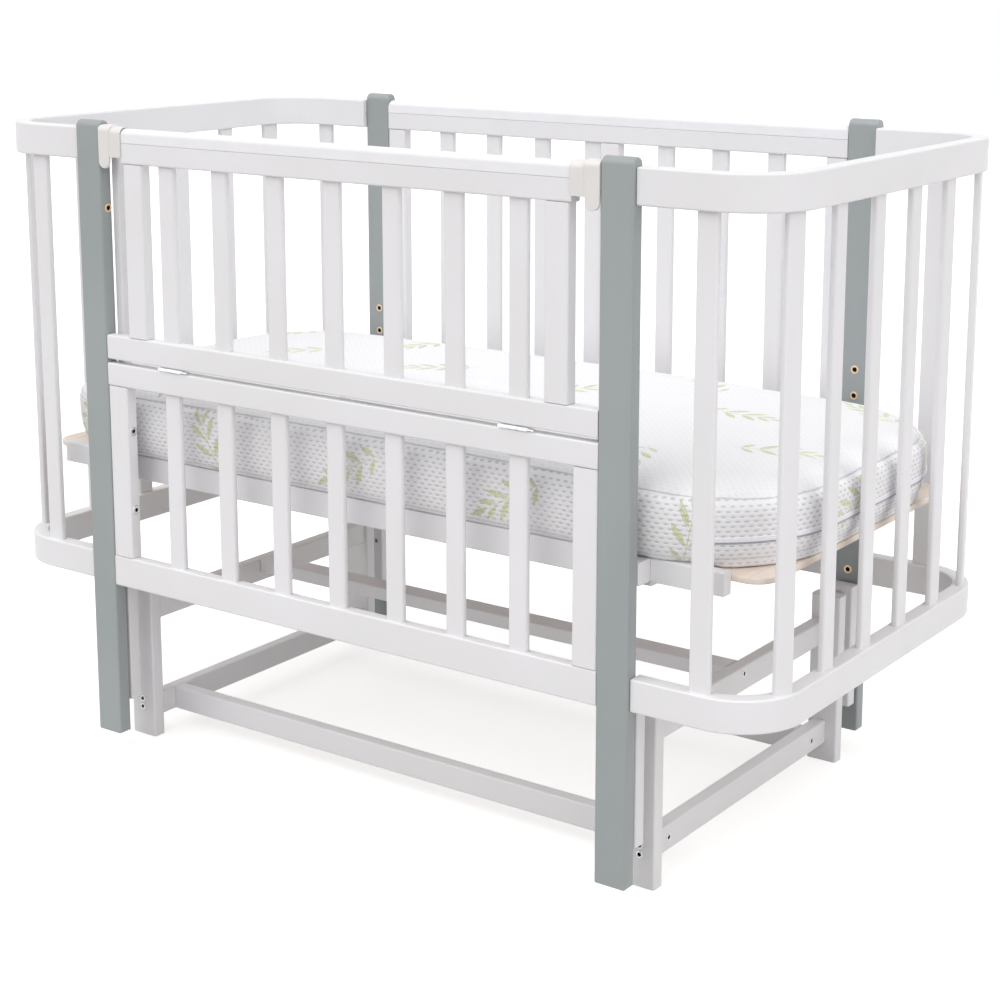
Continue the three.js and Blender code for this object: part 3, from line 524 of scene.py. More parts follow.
def metal(name, body, shade, roughness):
    """Plated metal: a fine scuffed sheen that drifts from bright to dull."""
    material, tree, shader = new_material(name)
    place = object_place(tree)
    scuff = noise(tree, place, 900.0, 5.0, Roughness=0.7)
    film = place_group(tree, FILM, Vector=place, Peel=1.0)
    edge = place_group(tree, EDGE, Radius=0.0003)
    tree.links.new(blend_colours(tree, ramp(tree, scuff, 0.35, 0.65), body, shade),
                   shader.inputs["Base Color"])
    tree.links.new(ramp(tree, scuff, 0.3, 0.7, roughness - 0.08, roughness + 0.1),
                   shader.inputs["Roughness"])
    bumped(tree, shader, film["Height"], 0.00003, edge["Normal"])
    shader.inputs["Metallic"].default_value = 1.0
    return material


zinc = metal("Zinc plated steel", linear(224, 225, 228), linear(202, 204, 208), 0.34)
hinge_steel = metal("Bright hinge steel", linear(243, 243, 245), linear(232, 232, 236), 0.45)
brass = metal("Brass", linear(243, 220, 188), linear(228, 198, 160), 0.42)


def bore_painted_shade_material():
    """Painted shade: a dark plug at the mouth of each insert stands in for the shaded threads down
    its bore.
    """
    material, _, shader = new_material("Painted bore shade")
    shader.inputs["Base Color"].default_value = linear(34, 27, 20)
    shader.inputs["Roughness"].default_value = 0.9
    shader.inputs["Specular IOR Level"].default_value = 0.05
    return material


bore_painted_shade = bore_painted_shade_material()


def beech_wood():
    """Bare beech ply, its grain across the crib: straight pale figure with short dark flecks."""
    material, tree, shader = new_material("Beech across")
    place = object_place(tree)
    grain = place_group(tree, GRAIN, Vector=place, Stretch=GRAIN_ALONG["y"], Pores=0.9)
    flecks = ramp(tree, noise(tree, stretched(tree, place, (260.0, 8.0, 260.0)), 3.0), 0.62, 0.72)
    colour = blend_colours(tree, ramp(tree, grain["Figure"], 0.3, 0.7),
                           linear(240, 229, 218), linear(231, 215, 201))
    colour = blend_colours(tree, math_node(tree, "MULTIPLY", flecks, 0.3), colour,
                           linear(186, 152, 126))
    tree.links.new(colour, shader.inputs["Base Color"])
    edge = place_group(tree, EDGE, Radius=0.0008)
    bumped(tree, shader, grain["Height"], 0.0002, edge["Normal"])
    tree.links.new(ramp(tree, grain["Figure"], 0.3, 0.7, 0.5, 0.62), shader.inputs["Roughness"])
    return material


beech_across = beech_wood()


# Timber

GRAIN_OF_NODE = {
    "x": ["side_top_rail", "gate_top_rail", "rear_top_rail", "stand_upper_long_rail",
          "stand_lower_long_rail_front", "stand_lower_long_rail_rear", "deck_rail_front",
          "deck_rail_rear", *(f"deck_block_{word}" for word, _, _ in CORNERS)],
    "y": [f"stand_{level}_cross_rail_{word}" for level in ("upper", "lower") for word, _ in ENDS],
    "z": ["side_slat_rail", "rear_slat_rail", "gate_slat_rail", "rear_middle_stile",
          *(f"{part}_{word}" for part in ("leg", "link") for word, _, _ in CORNERS),
          *(f"{part}_stile_{word}" for part in ("side", "gate") for word, _ in ENDS)],
}
for axis, members in GRAIN_OF_NODE.items():
    for node in members:
        refined(node, "white_paint", white_along[axis])
for word, _, _ in CORNERS:
    refined(f"post_{word}", "grey_paint", grey_paint)
refined("deck_slats", "beech", beech_across)
for word, side in ENDS:
    refined(f"deck_end_board_{word}", "beech", beech_across)
    for part in ("fixed", "gate"):
        refined(f"hinge_leaf_{part}_{word}", "hinge_steel", hinge_steel)
    for level, node, grids, axis in (
            ("top", "end_top_rail", [bow_rail(side, *BOW_TOP_RAIL)], "y"),
            ("low", "end_slat_rail", [bow_rail(side, *BOW_LOW_RAIL), *bow_slats(side)], "z")):
        name = f"curved_{level}_rail_{word}"
        finish_piece(name, shells(name, grids), "crib", "white_paint", white_along[axis],
                     (f"{node}_{word}",))


# Caps and latches

PANEL_LINE = 0.310
CAP_OUTER = 0.009
CAP_SKIRT = 0.019
CAP_ROUND = 0.008
CAP_WALL = 0.0015
CAP_END = 0.004
GATE_TOP = 0.888
GATE_CAP_REACH = 0.3615
REAR_TOP = 0.887
REAR_CAP_REACH = 0.4007
TAB_LINE = 0.390
TAB_WIDTH = 0.0214
TAB_HEIGHT = 0.0585
TAB_TOP = 0.892
TAB_CORNER = 0.003
TAB_FOOT = 0.0099
TAB_OUTER = 0.0110
TAB_MIDDLE = 0.3110
TAB_ROLL = 0.009
TAB_RIM = 0.0014
TAB_PLATE = 0.0034
TAB_BODY = 0.0430
SADDLE_REACH = (0.3603, 0.3823)
SADDLE_OUTER = 0.011
SADDLE_TOP = 0.890
SADDLE_DEPTH = 0.041
SADDLE_ROUND = 0.010
SADDLE_WALL = 0.0017
SADDLE_CORNER = 0.003
LATCH_PIN = [
    (0.0040, -0.0100, ""), (0.0040, 0.0070, ""), (0.0036, 0.0079, ""), (0.0028, 0.0084, "")]
LATCH_PIN_HEIGHT = 0.864
POST_INNER_SIDE = 0.401


def channel_section(outer, depth, corner, wall, steps=9):
    """Inverted channel about the middle of its top: up one side, over and down the other, and back
    along the inside, whose arcs share the outer arcs' centres."""
    angles = np.linspace(0, np.pi / 2, steps)
    across = np.array([-1.0, 1.0])

    def quarter(radius):
        return np.stack([outer - corner + radius * np.cos(angles),
                         radius * np.sin(angles) - corner], axis=1)

    over, under = quarter(corner), quarter(corner - wall)
    foot = np.array([[outer, -depth]])
    inner_foot = np.array([[outer - wall, -depth]])
    return np.concatenate([foot, over, over[::-1] * across, foot * across, inner_foot * across,
                           under * across, under[::-1], inner_foot])


def quarter_ends(start, end, radius, ends=(True, True), steps=7):
    """Places from start to end and how far each is drawn in there: a quarter circle at an end."""
    angles = np.linspace(0, np.pi / 2, steps)
    travel, drawn = radius * (1 - np.cos(angles)), radius * (1 - np.sin(angles))
    way = np.sign(end - start)
    places = [start + way * travel if ends[0] else np.array([start])]
    inset = [drawn if ends[0] else np.array([0.0])]
    places.append(end - way * travel[::-1] if ends[1] else np.array([end]))
    inset.append(drawn[::-1] if ends[1] else np.array([0.0]))
    return np.concatenate(places), np.concatenate(inset)


def channel(places, lowered, raised, line, top, section, depth):
    """Channel carried along X. Its height shrinks onto its foot where it is lowered, and towards
    its top where it is raised."""
    level = section[None, :, 1] * (1 - raised[:, None] / depth)
    level = (level + depth) * (1 - lowered[:, None] / depth) - depth
    along = np.broadcast_to(places[:, None], level.shape)
    across = np.broadcast_to(line + section[None, :, 0], level.shape)
    return np.stack([along, across, top + level], axis=-1)


def cap(name, body, reach, line, top, node):
    places, lowered = quarter_ends(-reach, reach, CAP_END)
    section = channel_section(CAP_OUTER, CAP_SKIRT, CAP_ROUND, CAP_WALL)
    grid = channel(places, lowered, 0 * lowered, line, top, section, CAP_SKIRT)
    return finish_piece(name, shells(name, [grid]), body, "cap_plastic", cap_plastic, (node,))


def tab_outline(inset, steps=9):
    """Seen from the front about the middle of its top: small top corners, an upright side at the
    post, and a round foot that both sides touch. Drawing in keeps every arc's centre."""
    corner = TAB_WIDTH / 2 - TAB_CORNER
    foot_drop = TAB_HEIGHT - TAB_FOOT
    across = TAB_WIDTH - TAB_FOOT
    reach = math.hypot(across, foot_drop - TAB_CORNER)
    lean = math.atan2(foot_drop - TAB_CORNER, across) - math.acos(TAB_FOOT / reach)
    arcs = [(corner, -TAB_CORNER, TAB_CORNER, 0, np.pi / 2),
            (-corner, -TAB_CORNER, TAB_CORNER, np.pi / 2, np.pi),
            (TAB_WIDTH / 2 - TAB_FOOT, -foot_drop, TAB_FOOT, np.pi - lean, 2 * np.pi)]
    points = []
    for x, z, radius, first, last in arcs:
        angle = np.linspace(first, last, steps * (2 if radius == TAB_FOOT else 1))
        points.append(np.stack([x + (radius - inset) * np.cos(angle),
                                z + (radius - inset) * np.sin(angle)], axis=1))
    return np.concatenate(points)


def tab(side):
    """Outline carried through the latch's depth, its rims quarter circles, its top rolled: no point
    is above a half circle of the roll's radius at either face. Only the front plate hangs lower
    than the body, so behind the plate no point is below the body's foot."""
    places, insets = quarter_ends(-TAB_OUTER, TAB_OUTER, TAB_RIM)
    step = TAB_PLATE - TAB_OUTER
    middle = np.concatenate([[step, step], np.linspace(step, TAB_OUTER - TAB_RIM, 19)[1:-1]])
    half = len(places) // 2
    places = np.concatenate([places[:half], middle, places[half:]])
    insets = np.concatenate([insets[:half], 0 * middle, insets[half:]])
    past = np.clip(np.abs(places) - (TAB_OUTER - TAB_ROLL), 0, TAB_ROLL)
    limit = np.sqrt(TAB_ROLL ** 2 - past ** 2) - TAB_ROLL
    foot = np.where(np.arange(len(places)) <= half, -TAB_HEIGHT, -TAB_BODY)
    rows = []
    for place, inset, highest, lowest in zip(places, insets, limit, foot):
        outline = tab_outline(inset)
        rows.append(np.stack([
            side * (TAB_LINE + outline[:, 0]), np.full(len(outline), place - TAB_MIDDLE),
            TAB_TOP + np.clip(outline[:, 1], lowest, highest)], axis=1))
    return np.array(rows)


def latch(word, side):
    """Saddle over the rail, tab and pin. The saddle's free end has round lower corners."""
    places, raised = quarter_ends(SADDLE_REACH[0], SADDLE_REACH[1], SADDLE_CORNER, (True, False))
    section = channel_section(SADDLE_OUTER, SADDLE_DEPTH, SADDLE_ROUND, SADDLE_WALL)
    saddle = channel(side * places, 0 * raised, raised, -PANEL_LINE, SADDLE_TOP, section,
                     SADDLE_DEPTH)
    pin = turned(LATCH_PIN, (side * POST_INNER_SIDE, -PANEL_LINE, LATCH_PIN_HEIGHT), (side, 0, 0))
    name = f"latch_{word}_moulded"
    return finish_piece(name, shells(name, [tab(side), saddle, pin]), f"latch_{word}",
                        "latch_plastic", latch_plastic, (f"latch_{word}",))


cap("gate_cap_moulded", "gate", GATE_CAP_REACH, -PANEL_LINE, GATE_TOP, "gate_cap")
cap("rear_cap_moulded", "crib", REAR_CAP_REACH, PANEL_LINE, REAR_TOP, "rear_cap")
for word, side in ENDS:
    latch(word, side)


# Hardware

POST_LINE = 0.423
POST_FACE = 0.300
INSERT_HEIGHTS = (0.263, 0.514, 0.551)
INSERT_PROFILE = [
    (0.0049, -0.0120, ""), (0.0049, 0.0, ""), (0.0060, 0.0, ""), (0.0060, 0.0003, ""),
    (0.0057, 0.0006, ""), (0.0037, 0.0006, ""), (0.0032, 0.0001, ""), (0.0032, -0.0112, ""),
]
# A dark plug in each insert's bore, up to its mouth: painted shade of the bore.
BORE_SHADE_PROFILE = [(0.0033, -0.0020, ""), (0.0033, 0.0001, ""), (0.0032, 0.0002, "")]
SIDE_INSERT_PLACE = (-0.307, 0.778)
STILE_BOLT = socket_head(0.0066, 0.0014, 0.0030, 0.0026)
STILE_BOLT_PLACES = [(0.3657, -0.3095, height) for height in (0.4717, 0.3599)]
STAND_SCREW = socket_head(0.0046, 0.0007, 0.0030, 0.0034)
LEG_SCREW_PLACES = [(0.4240, 0.2535, height) for height in (0.042, 0.054)]
LOW_RAIL_SCREW_PLACE = (0.4285, 0.192, 0.043)
HIGH_RAIL_SCREW_PLACE = (0.4245, 0.0, 0.198)
DECK_BOLT = socket_head(0.0060, 0.0018, 0.0026, 0.0024)
DECK_BOLT_PLACE = (POST_LINE, 0.226, 0.4005)
LINK_THICK = 0.020
LINK_OUTER = 0.2945
BOLT_CLEARANCE = 0.0004
BOLT_HEAD = 0.0075
BOLT_SHANK = 0.0040
BUSH = 0.0090
HANGER_HEIGHT = 0.230
CARRY_HEIGHT = 0.090


def hardware(name, body, grids, material, slot=None, replaced=()):
    """Turned pieces as one; without a slot they have no packed finish of their own."""
    piece = finish_piece(name, shells(name, grids), body, slot or "steel", material, replaced)
    if slot is None:
        del piece["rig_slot"]
    return piece


def at(place, side=1, face=1):
    """Place mirrored to a side and a face."""
    return side * place[0], face * place[1], place[2]


insert_places = [(at((POST_LINE, POST_FACE, height), side, face), (0, -face, 0))
                 for _, side, face in CORNERS for height in INSERT_HEIGHTS]
insert_places += [(at((POST_INNER_SIDE, *SIDE_INSERT_PLACE), side), (-side, 0, 0))
                  for _, side in ENDS]
# Brass inserts, with dark plugs in their bores as painted shade.
for name, profile, material in (("post_inserts", INSERT_PROFILE, brass),
                                ("insert_bore_shade_plugs", BORE_SHADE_PROFILE, bore_painted_shade)):
    hardware(name, "crib", [turned(profile, *place) for place in insert_places], material)
hardware("stile_bolt_heads", "crib", [
    turned(STILE_BOLT, at(place, side), (-side, 0, 0))
    for _, side in ENDS for place in STILE_BOLT_PLACES], zinc, "steel")
screws = [(at(place, side, face), (0, face, 0))
          for _, side, face in CORNERS for place in LEG_SCREW_PLACES]
screws += [(at(LOW_RAIL_SCREW_PLACE, side, face), (side, 0, 0)) for _, side, face in CORNERS]
screws += [(at(HIGH_RAIL_SCREW_PLACE, side), (side, 0, 0)) for _, side in ENDS]
hardware("stand_screws", "stand", [turned(STAND_SCREW, *screw) for screw in screws], zinc, "steel")
hardware("deck_bolt_heads", "crib", [
    turned(DECK_BOLT, at(DECK_BOLT_PLACE, side, face), (0, -face, 0))
    for _, side, face in CORNERS], zinc, "steel")


def bolt(head_height, bush_end, tip):
    """Profile of a headed bolt with a bush on its shank past the link, from the tip up to the
    socket's foot."""
    bush_start = LINK_THICK + 2 * BOLT_CLEARANCE
    return [
        (BOLT_SHANK * 0.7, -tip, ""), (BOLT_SHANK, -tip + 0.001, ""), (BOLT_SHANK, -bush_end, ""),
        (BUSH, -bush_end, ""), (BUSH, -bush_start, ""), (BOLT_SHANK, -bush_start, ""),
        (BOLT_SHANK, 0.0, ""), *socket_head(BOLT_HEAD, head_height, 0.0030, 0.0028)[1:]]


HANGER_BOLT = bolt(0.0040, LINK_THICK + 0.021, LINK_THICK + 0.035)
CARRY_BOLT = bolt(0.0050, LINK_THICK + 0.0055, LINK_THICK + 0.0195)
for word, side, face in CORNERS:
    for kind, body, profile, depth, height, way in (
            ("hanger", "stand", HANGER_BOLT, LINK_OUTER + BOLT_CLEARANCE, HANGER_HEIGHT, face),
            ("carry", "crib", CARRY_BOLT, LINK_OUTER - LINK_THICK - BOLT_CLEARANCE, CARRY_HEIGHT,
             -face)):
        name = f"{kind}_bolt_{word}"
        hardware(name + "_turned", body,
                 [turned(profile, at((POST_LINE, depth, height), side, face), (0, way, 0))],
                 zinc, "steel", (name,))


# Mattress

MATTRESS_LENGTH = 1.2
MATTRESS_WIDTH = 0.572
MATTRESS_FOOT = 0.4258
MATTRESS_SIDE = 0.0855
MATTRESS_CROWN = 0.015
MATTRESS_TIP_DROP = 0.010
MATTRESS_TUCK = 0.010
MATTRESS_CORNER = 0.165
MATTRESS_SAG = 0.0060
SAG_EDGE = 0.254
SAG_BLEND = 0.016
EDGE_PRESS = 0.006
EDGE_BAND = 0.030
SEAM_INSET = 0.004
FILLING_GAP = 0.003
VOXEL_SIZE = 0.0075
SWELL_FRAMES = 20
SWELL_PRESSURE = 4.0
SWELL_CAP = 0.006
# Depth and reach of the groove at the top seam and of that above the bottom piping
SEAM_GROOVE = (0.0026, 0.0042)
FOOT_GROOVE = (0.0016, 0.0040)
FOOT_GROOVE_HEIGHT = 0.009
# How far in from the ends, sides and corners the seam's groove and puckers are worked
END_BAND = 0.050
SIDE_BAND = 0.030
CORNER_BAND = 0.035
PUCKER_SEED = 7
PUCKER_LENGTHS = (0.031, 0.043, 0.058, 0.083, 0.121)
PUCKER_SHARE = 0.0011 / 0.2
PUCKER_FADE = 0.018
BILLOW_DEPTH = 0.0016
BILLOW_LENGTH = 0.37
BILLOW_START = 0.8


def eased(share):
    """0 to 1 with level ends: 3 t squared less 2 t cubed."""
    bounded = np.clip(share, 0, 1)
    return bounded * bounded * (3 - 2 * bounded)


def mattress_outline(inset, count=240):
    """Rectangle with round corners drawn in by inset, as points at even steps of its length."""
    half_length = MATTRESS_LENGTH / 2 - inset
    half_width = MATTRESS_WIDTH / 2 - inset
    radius = MATTRESS_CORNER * half_width / (MATTRESS_WIDTH / 2)
    quarters = []
    for side, face, start in ((1, -1, -1), (1, 1, 0), (-1, 1, 1), (-1, -1, 2)):
        angle = (start + np.linspace(0, 1, 49)) * np.pi / 2
        quarters.append(np.stack([side * (half_length - radius) + radius * np.cos(angle),
                                  face * (half_width - radius) + radius * np.sin(angle)], axis=1))
    loop = np.concatenate(quarters)
    loop = np.concatenate([loop, loop[:1]])
    run = np.concatenate([[0], np.cumsum(np.linalg.norm(np.diff(loop, axis=0), axis=1))])
    wanted = np.linspace(0, run[-1], count, endpoint=False)
    return np.stack([np.interp(wanted, run, loop[:, axis]) for axis in (0, 1)], axis=1)


def seam_height(x):
    """Top seam above the underside: lower towards the ends by the square of the share."""
    return MATTRESS_SIDE - MATTRESS_TIP_DROP * (2 * x / MATTRESS_LENGTH) ** 2


def underside(y):
    """Flat on the deck rails' tops, and sagging between them onto the slats."""
    return -MATTRESS_SAG * eased((SAG_EDGE - np.abs(y)) / SAG_BLEND)


def mattress_form():
    """Rings from the middle of the underside out, up the side and in over the crown. Each ring is
    the outline drawn in by a distance, its height a function of place. The whole is drawn in a
    little, so that the filling can swell into its cover."""
    half_width = MATTRESS_WIDTH / 2
    rows = []
    for inset in (0.9 * half_width, 0.7 * half_width, 0.12, 0.08, 0.055, 0.046, 0.041, 0.036, 0.031,
                  0.026, MATTRESS_TUCK):
        ring = mattress_outline(inset)
        rows.append(np.column_stack([ring, underside(ring[:, 1])]))
    for share in np.linspace(0.04, 0.96, 14):
        tuck = MATTRESS_TUCK * (1 - share) ** 5
        ring = mattress_outline(tuck + SEAM_INSET * eased((share - 0.8) / 0.2))
        rows.append(np.column_stack([ring, share * seam_height(ring[:, 0])]))
    for share, rise in ((0, 0), (0.04, 0.4), (0.12, 0.72), (0.3, 0.93), (0.6, 1.0), (0.9, 1.0)):
        ring = mattress_outline(SEAM_INSET + share * (half_width - SEAM_INSET))
        rows.append(np.column_stack([ring, seam_height(ring[:, 0]) + rise * MATTRESS_CROWN]))
    middle = np.array([0, 0, MATTRESS_SIDE / 2])
    size = np.array([MATTRESS_LENGTH, MATTRESS_WIDTH, MATTRESS_SIDE])
    drawn = (np.array(rows) - middle) * (1 - 2 * FILLING_GAP / size) + middle
    return drawn + np.array([0, 0, MATTRESS_FOOT])


def read_rows(members, name):
    """One vector of every vertex or face of a mesh."""
    values = np.empty(len(members) * 3, np.float32)
    members.foreach_get(name, values)
    return values.reshape(-1, 3)


def read_counts(members, name):
    values = np.empty(len(members), np.int32)
    members.foreach_get(name, values)
    return values


def get_points(mesh):
    return read_rows(mesh.vertices, "co").astype(float)


def set_points(mesh, points):
    mesh.vertices.foreach_set("co", points.astype(np.float32).ravel())
    mesh.update()


def swollen(piece, frames, pressure, cap):
    """Cloth run with pressure and no gravity; no point ends further than the cap from its start."""
    start = get_points(piece.data)
    cloth = piece.modifiers.new("Filling", "CLOTH")
    cloth.settings.quality = 4
    cloth.settings.mass = 0.3
    cloth.settings.tension_stiffness = 15
    cloth.settings.compression_stiffness = 15
    cloth.settings.bending_stiffness = 0.5
    cloth.settings.use_pressure = True
    cloth.settings.uniform_pressure_force = pressure
    cloth.settings.effector_weights.gravity = 0
    cloth.collision_settings.use_collision = False
    cloth.point_cache.frame_start = 1
    cloth.point_cache.frame_end = frames
    scene = bpy.context.scene
    for step in range(1, frames + 1):
        scene.frame_set(step)
    evaluated = piece.evaluated_get(bpy.context.evaluated_depsgraph_get())
    shift = get_points(evaluated.data) - start
    piece.modifiers.remove(cloth)
    scene.frame_set(1)
    length = np.linalg.norm(shift, axis=1, keepdims=True)
    set_points(piece.data, start + shift * np.minimum(1, cap / np.maximum(length, 1e-9)))


def applied(piece):
    """The piece's modifiers are worked into its mesh."""
    evaluated = piece.evaluated_get(bpy.context.evaluated_depsgraph_get())
    made = bpy.data.meshes.new_from_object(evaluated)
    piece.modifiers.clear()
    old = piece.data
    piece.data = made
    bpy.data.meshes.remove(old)


def fitted(points):
    """Stretched in plan to the mattress's full length and width, its lower edge pressed down by its
    weight, and flat where it lies: no point is lower than the underside on the rails and slats."""
    span = points.max(axis=0) - points.min(axis=0)
    middle = (points.max(axis=0) + points.min(axis=0)) / 2
    scale = np.array([MATTRESS_LENGTH / span[0], MATTRESS_WIDTH / span[1], 1.0])
    laid = (points - middle) * scale + np.array([0, 0, middle[2]])
    laid[:, 2] -= EDGE_PRESS * eased(1 - (laid[:, 2] - MATTRESS_FOOT) / EDGE_BAND)
    floor = MATTRESS_FOOT + underside(laid[:, 1]) + 0.0002
    laid[:, 2] = np.maximum(laid[:, 2], floor)
    return laid


def arc_place(x, y, left):
    """Distance round the mattress's outline from the middle of its front, anticlockwise from
    above; the left half is negative. Straights and corners are taken from the nominal outline."""
    run_x = MATTRESS_LENGTH / 2 - MATTRESS_CORNER
    run_y = MATTRESS_WIDTH / 2 - MATTRESS_CORNER
    quarter = MATTRESS_CORNER * np.pi / 2
    ax, ay = np.abs(x), np.abs(y)
    turn = np.arctan2(np.maximum(ax - run_x, 0), np.maximum(ay - run_y, 1e-9))
    place = np.where(
        ax < run_x, ax,
        np.where(ay < run_y, run_x + quarter + run_y - ay, run_x + MATTRESS_CORNER * turn))
    whole = 2 * (run_x + quarter + run_y)
    place = np.where(y > 0, whole - place, place)
    return np.where(left, -place, place)


def tailored(points, normals):
    """Sewn edges: the cover is drawn in along the top seam and above the bottom piping, with small
    puckers beside the top seam that fade within 2 cm. Their depth is a sum of sines of the
    distance round the outline."""
    chance = np.random.default_rng(PUCKER_SEED)
    above = points[:, 2] - MATTRESS_FOOT
    side = 1 - eased((np.abs(normals[:, 2]) - 0.75) / 0.2)
    place = arc_place(points[:, 0], points[:, 1], points[:, 0] < 0)
    to_seam = above - seam_height(points[:, 0])
    outward = np.abs(points[:, 0]) > MATTRESS_LENGTH / 2 - END_BAND
    outward |= np.abs(points[:, 1]) > MATTRESS_WIDTH / 2 - SIDE_BAND
    rim = np.hypot(np.maximum(np.abs(points[:, 0]) - (MATTRESS_LENGTH / 2 - MATTRESS_CORNER), 0),
                   np.maximum(np.abs(points[:, 1]) - (MATTRESS_WIDTH / 2 - MATTRESS_CORNER), 0))
    near_rim = np.maximum(outward, rim > MATTRESS_CORNER - CORNER_BAND)
    depth, reach = SEAM_GROOVE
    groove = depth * np.exp(-(to_seam / reach) ** 2) * near_rim
    depth, reach = FOOT_GROOVE
    groove += depth * np.exp(-((above - FOOT_GROOVE_HEIGHT) / reach) ** 2) * side
    wave = np.zeros(len(points))
    for length in PUCKER_LENGTHS:
        phase = chance.uniform(0, 2 * np.pi)
        wave += np.sin(2 * np.pi * place / length + phase) * length
    wave *= PUCKER_SHARE
    puckers = wave * np.exp(-np.abs(to_seam) / PUCKER_FADE) * near_rim
    billow = BILLOW_DEPTH * np.sin(2 * np.pi * place / BILLOW_LENGTH + BILLOW_START)
    billow = billow * np.sin(np.pi * np.clip(above / MATTRESS_SIDE, 0, 1)) * side
    return points + normals * (puckers + billow - groove)[:, None]


def cover_uv(mesh):
    """The cover's own map in metres: seen from above on its top and underside, and distance round
    by height on its side, so that the knit runs with each panel."""
    points = get_points(mesh)
    vertex = read_counts(mesh.loops, "vertex_index")
    face_size = read_counts(mesh.polygons, "loop_total")
    centre, normal = (read_rows(mesh.polygons, name) for name in ("center", "normal"))
    over = (centre[:, 2] - MATTRESS_FOOT > seam_height(centre[:, 0])) | (normal[:, 2] < -0.7)
    over, left = (np.repeat(mask, face_size) for mask in (over, centre[:, 0] < 0))
    place = points[vertex]
    around = arc_place(place[:, 0], place[:, 1], left)
    flat = np.where(over[:, None], place[:, :2], np.stack([around, place[:, 2]], axis=1))
    layer = mesh.uv_layers.new(name="Cover")
    layer.data.foreach_set("uv", flat.astype(np.float32).ravel())
    panel = mesh.attributes.new("top_panel", "FLOAT", "CORNER")
    panel.data.foreach_set("value", over.astype(np.float32))


def staggered(tree, place, cell):
    """The cloth is cut into cells, every other row shifted by half: the place from the middle of
    its cell, and the cell's column and row."""
    split = parted(tree, vector_math(tree, "DIVIDE", place, cell))
    row = math_node(tree, "FLOOR", split["Y"])
    shifted = math_node(tree, "ADD", split["X"], math_node(
        tree, "MULTIPLY", math_node(tree, "FLOORED_MODULO", row, 2.0), 0.5))
    middle = paired(tree, *(math_node(tree, "SUBTRACT", math_node(tree, "FRACT", value), 0.5)
                            for value in (shifted, split["Y"])))
    home = paired(tree, math_node(tree, "FLOOR", shifted), row)
    return vector_math(tree, "MULTIPLY", middle, cell), home


def dash_group():
    """Staggered knitted dashes: in each cell lies an ellipse whose edge is softened."""
    tree, given, out = new_group(
        "Knitted dashes",
        [("Vector", "Vector", None), ("Pitch", "Vector", (0.0112, 0.0058, 1.0)),
         ("Dash", "Vector", (0.0033, 0.0012, 1.0))],
        [("Dash", "Float"), ("Height", "Float")])
    wander = vector_math(tree, "SUBTRACT", noise(tree, given["Vector"], 60.0, output="Color"),
                         (0.5, 0.5, 0.5))
    wander = vector_math(tree, "MULTIPLY", wander, (0.0016, 0.0012, 0.0))
    laid = vector_math(tree, "ADD", given["Vector"], wander)
    offset, _ = staggered(tree, laid, given["Pitch"])
    offset = vector_math(tree, "DIVIDE", offset, given["Dash"])
    reach = vector_math(tree, "LENGTH", offset, output="Value")
    return put_out(tree, out, Dash=ramp(tree, reach, 1.25, 0.55),
                   Height=ramp(tree, reach, 0.4, 2.0))


def leaf_group():
    """One leaf: the place is turned to lie along the leaf, and it is inside where its distance
    across is less than the width times the sine of pi times its share along."""
    tree, given, out = new_group(
        "Printed leaf",
        [("Vector", "Vector", None), ("Foot", "Vector", (0.0, 0.0, 0.0)), ("Angle", "Float", 0.0),
         ("Length", "Float", 0.02), ("Width", "Float", 0.004)],
        [("Leaf", "Float"), ("Vein", "Float")])
    moved = vector_math(tree, "SUBTRACT", given["Vector"], given["Foot"])
    back = math_node(tree, "MULTIPLY", given["Angle"], -1.0)
    split = parted(tree, turned_flat(tree, moved, back))
    share = math_node(tree, "DIVIDE", split["X"], given["Length"])
    inside = math_node(tree, "COMPARE", share, 0.5, 0.5)
    bulge = math_node(tree, "SINE", math_node(tree, "MULTIPLY", math_node(
        tree, "MINIMUM", math_node(tree, "MAXIMUM", share, 0.0), 1.0), math.pi))
    across = math_node(tree, "DIVIDE", math_node(tree, "ABSOLUTE", split["Y"]), given["Width"])
    edge = math_node(tree, "SUBTRACT", bulge, across)
    leaf = math_node(tree, "MULTIPLY", ramp(tree, edge, 0.0, 0.16), inside)
    vein = math_node(tree, "MULTIPLY", ramp(tree, across, 0.16, 0.02), leaf)
    return put_out(tree, out, Leaf=leaf, Vein=vein)


# Foot, turn, length and width of each leaf of a sprig, and of its stem
SPRIG_LEAVES = [
    ((-0.046, 0.0007, 0.0), 0.85, 0.027, 0.0042), ((-0.024, 0.0007, 0.0), 0.72, 0.036, 0.0050),
    ((0.000, 0.0007, 0.0), 0.58, 0.037, 0.0048), ((0.022, 0.0007, 0.0), 0.44, 0.030, 0.0040),
    ((0.040, 0.0, 0.0), 0.0, 0.028, 0.0046), ((-0.066, 0.0, 0.0), 0.0, 0.110, 0.0009)]


def sprig_group(leaf):
    """Scattered sprigs: the cloth is cut into large cells, each turned by its own chance angle. A
    straight stem carries leaflets in pairs, mirrored by taking the distance across as positive."""
    tree, given, out = new_group(
        "Printed sprigs",
        [("Vector", "Vector", None), ("Cell", "Vector", (0.25, 0.134, 1.0))],
        [("Sprig", "Float"), ("Vein", "Float")])
    local, home = staggered(tree, given["Vector"], given["Cell"])
    chance = add_node(tree, "ShaderNodeTexWhiteNoise", {"Vector": home}, noise_dimensions="2D")
    angle = math_node(tree, "MULTIPLY", chance.outputs["Value"], 2 * math.pi)
    parts = parted(tree, turned_flat(tree, local, angle))
    folded = paired(tree, parts["X"], math_node(tree, "ABSOLUTE", parts["Y"]))
    sprig, veins = 0.0, 0.0
    for foot, turn, length, width in SPRIG_LEAVES:
        placed = place_group(tree, leaf, Vector=folded, Foot=foot, Angle=turn, Length=length,
                             Width=width)
        sprig = math_node(tree, "MAXIMUM", placed["Leaf"], sprig)
        veins = math_node(tree, "MAXIMUM", placed["Vein"], veins)
    return put_out(tree, out, Sprig=sprig, Vein=veins)


